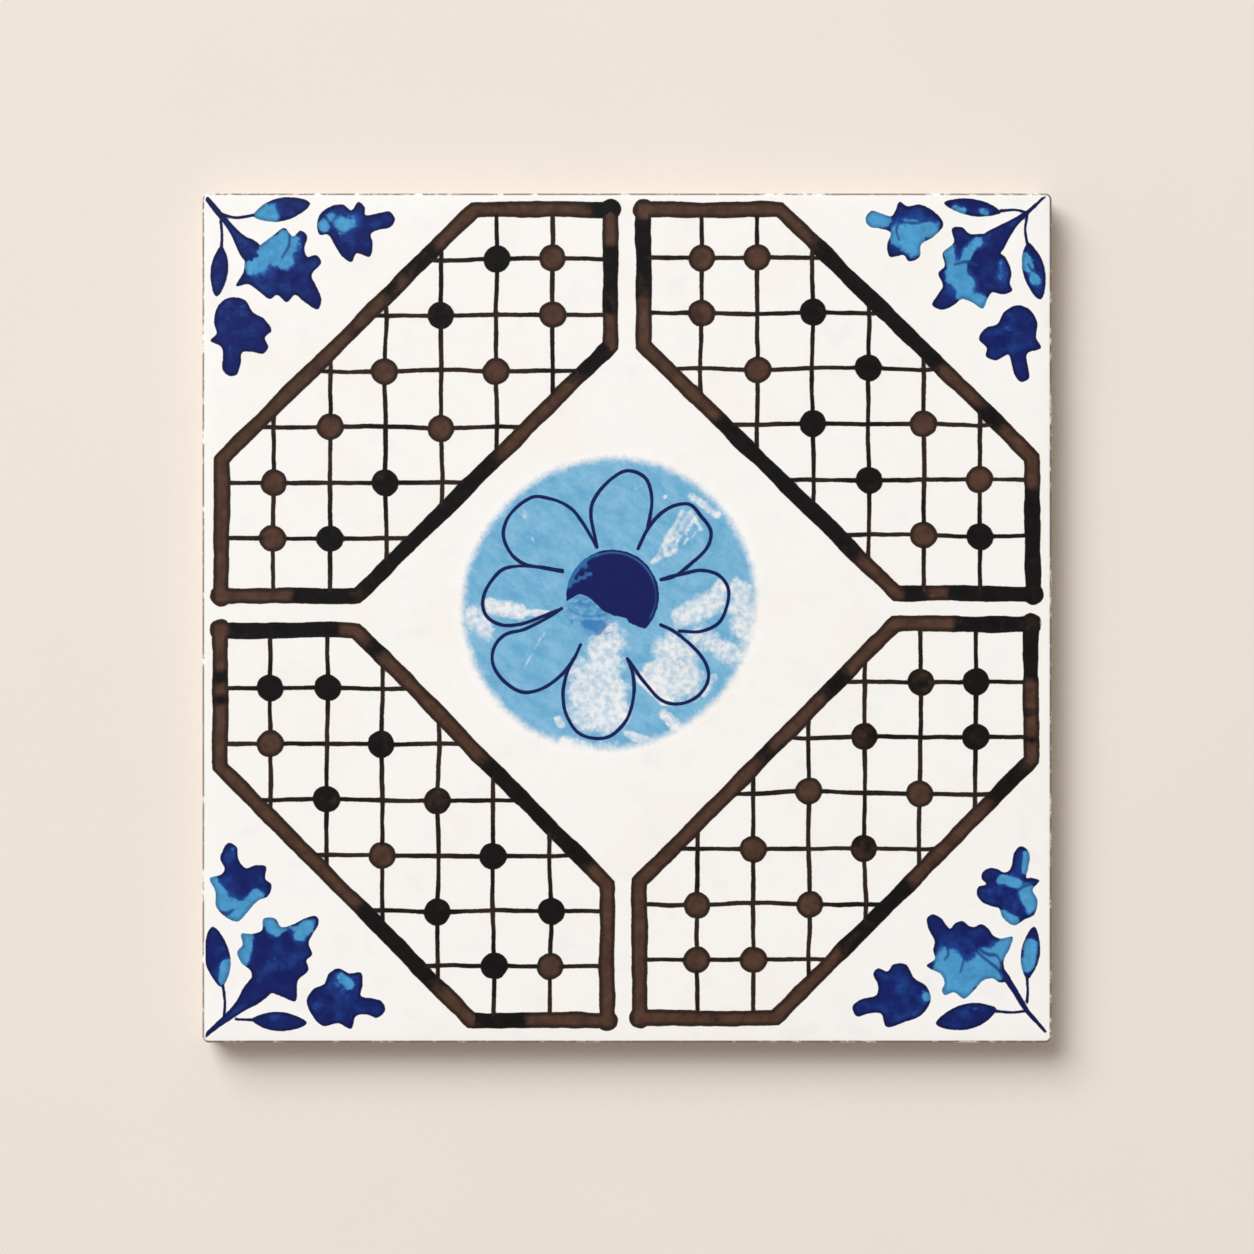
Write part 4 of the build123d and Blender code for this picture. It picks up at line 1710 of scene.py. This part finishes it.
class PORCELAIN_OT_tile(bpy.types.Operator):
    """Press, print and glaze the tile around its frame"""

    bl_idname = "porcelain.make_tile"
    bl_label = "Make the tile"

    def execute(self, context):
        scene = context.scene
        finish = scene.tile_glaze
        piece = show(context, PIECE, tile_mesh(scene))
        for make_group in (
            make_glaze_group, make_edge_group, make_wash_group, make_mottle_group, make_rub_group
        ):
            make_group()
        for material in (
            make_body_material(finish),
            make_edge_material(finish),
            make_glaze_material(finish),
            make_trellis_material(finish, scene.tile_trellis),
            make_sprig_material(finish, scene.tile_sprigs),
            make_medallion_material(finish, scene.tile_medallion),
        ):
            piece.data.materials.append(material)
        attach(piece, BODY)
        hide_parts(NODE)
        return {"FINISHED"}


def make_floor(context, ground, reach=4.0):
    """A wide level ground that the tile lies on."""
    mesh = bpy.data.meshes.new("ground")
    corners = [(-reach, -reach, 0), (reach, -reach, 0), (reach, reach, 0), (-reach, reach, 0)]
    mesh.from_pydata(corners, [], [(0, 1, 2, 3)])
    mesh.materials.append(make_ground_material(ground))
    return show(context, "ground", mesh)


def make_key(context, power):
    """A broad soft light from the upper left of the print."""
    light = bpy.data.lights.new("key", "AREA")
    light.energy = power
    light.color = KEY_TINT
    light.size = KEY_WIDTH
    key = show(context, "key", light)
    key.location = KEY_PLACE
    key.rotation_euler = (-key.location).to_track_quat("-Z", "Y").to_euler()
    return key


def make_sky(context, strength):
    """Even light from all round, dark only straight above, where the camera hangs."""
    world = bpy.data.worlds.new("soft studio")
    context.scene.world = world
    world.use_nodes = True
    world.node_tree.nodes.clear()
    graph = Graph(world.node_tree)
    direction = graph.node("ShaderNodeTexCoord").outputs["Generated"]
    up = graph.node("ShaderNodeSeparateXYZ", {"Vector": direction}).outputs["Z"]
    strength = graph.smooth(up, *SKY_HOLE, strength, SKY_ABOVE)
    sky = graph.node("ShaderNodeBackground", {"Color": SKY_TINT, "Strength": strength})
    output = graph.node("ShaderNodeOutputWorld")
    graph.wire(sky.outputs[0], output.inputs["Surface"])


def make_camera(context, lens):
    """A camera straight above, which sees the tile a little above its middle."""
    camera = bpy.data.cameras.new("camera")
    camera.lens = lens
    camera.sensor_width = SENSOR_WIDTH
    side = 2 * HALF_WIDTH * MM * PICTURE_SIDE / TILE_SIDE
    distance = side * camera.lens / camera.sensor_width
    made = show(context, "camera", camera)
    made.location = (0.0, -TILE_RISE / PICTURE_SIDE * side, THICKNESS * MM + distance)
    context.scene.camera = made
    return made


class PORCELAIN_OT_stage(bpy.types.Operator):
    """Set the ground, the soft light and the camera"""

    bl_idname = "porcelain.set_stage"
    bl_label = "Set the stage"

    def execute(self, context):
        settings = context.scene.tile_stage
        floor = make_floor(context, settings.ground)
        key = make_key(context, settings.key)
        make_sky(context, settings.sky)
        camera = make_camera(context, settings.lens)
        context.scene.view_settings.view_transform = "Standard"
        return {"FINISHED"}


class PORCELAIN_PT_tile(bpy.types.Panel):
    """The tile's settings and its two operators"""

    bl_idname = "PORCELAIN_PT_tile"
    bl_label = "Porcelain tile"
    bl_space_type = "VIEW_3D"
    bl_region_type = "UI"
    bl_category = "Porcelain"

    def draw(self, context):
        layout = self.layout
        for name, group in SETTINGS.items():
            box = layout.box()
            box.label(text=group.__doc__)
            for setting in group.__annotations__:
                box.prop(getattr(context.scene, name), setting)
        layout.operator(PORCELAIN_OT_tile.bl_idname)
        layout.operator(PORCELAIN_OT_stage.bl_idname)


CLASSES = (*SETTINGS.values(), PORCELAIN_OT_tile, PORCELAIN_OT_stage, PORCELAIN_PT_tile)


def register():
    for cls in CLASSES:
        bpy.utils.register_class(cls)
    for name, group in SETTINGS.items():
        setattr(bpy.types.Scene, name, bpy.props.PointerProperty(type=group))


def unregister():
    for name in SETTINGS:
        delattr(bpy.types.Scene, name)
    for cls in reversed(CLASSES):
        bpy.utils.unregister_class(cls)


def main():
    """Makes everything once."""
    register()
    bpy.ops.porcelain.make_tile()
    bpy.ops.porcelain.set_stage()
    bpy.context.view_layer.update()


if __name__ == "__main__":
    main()
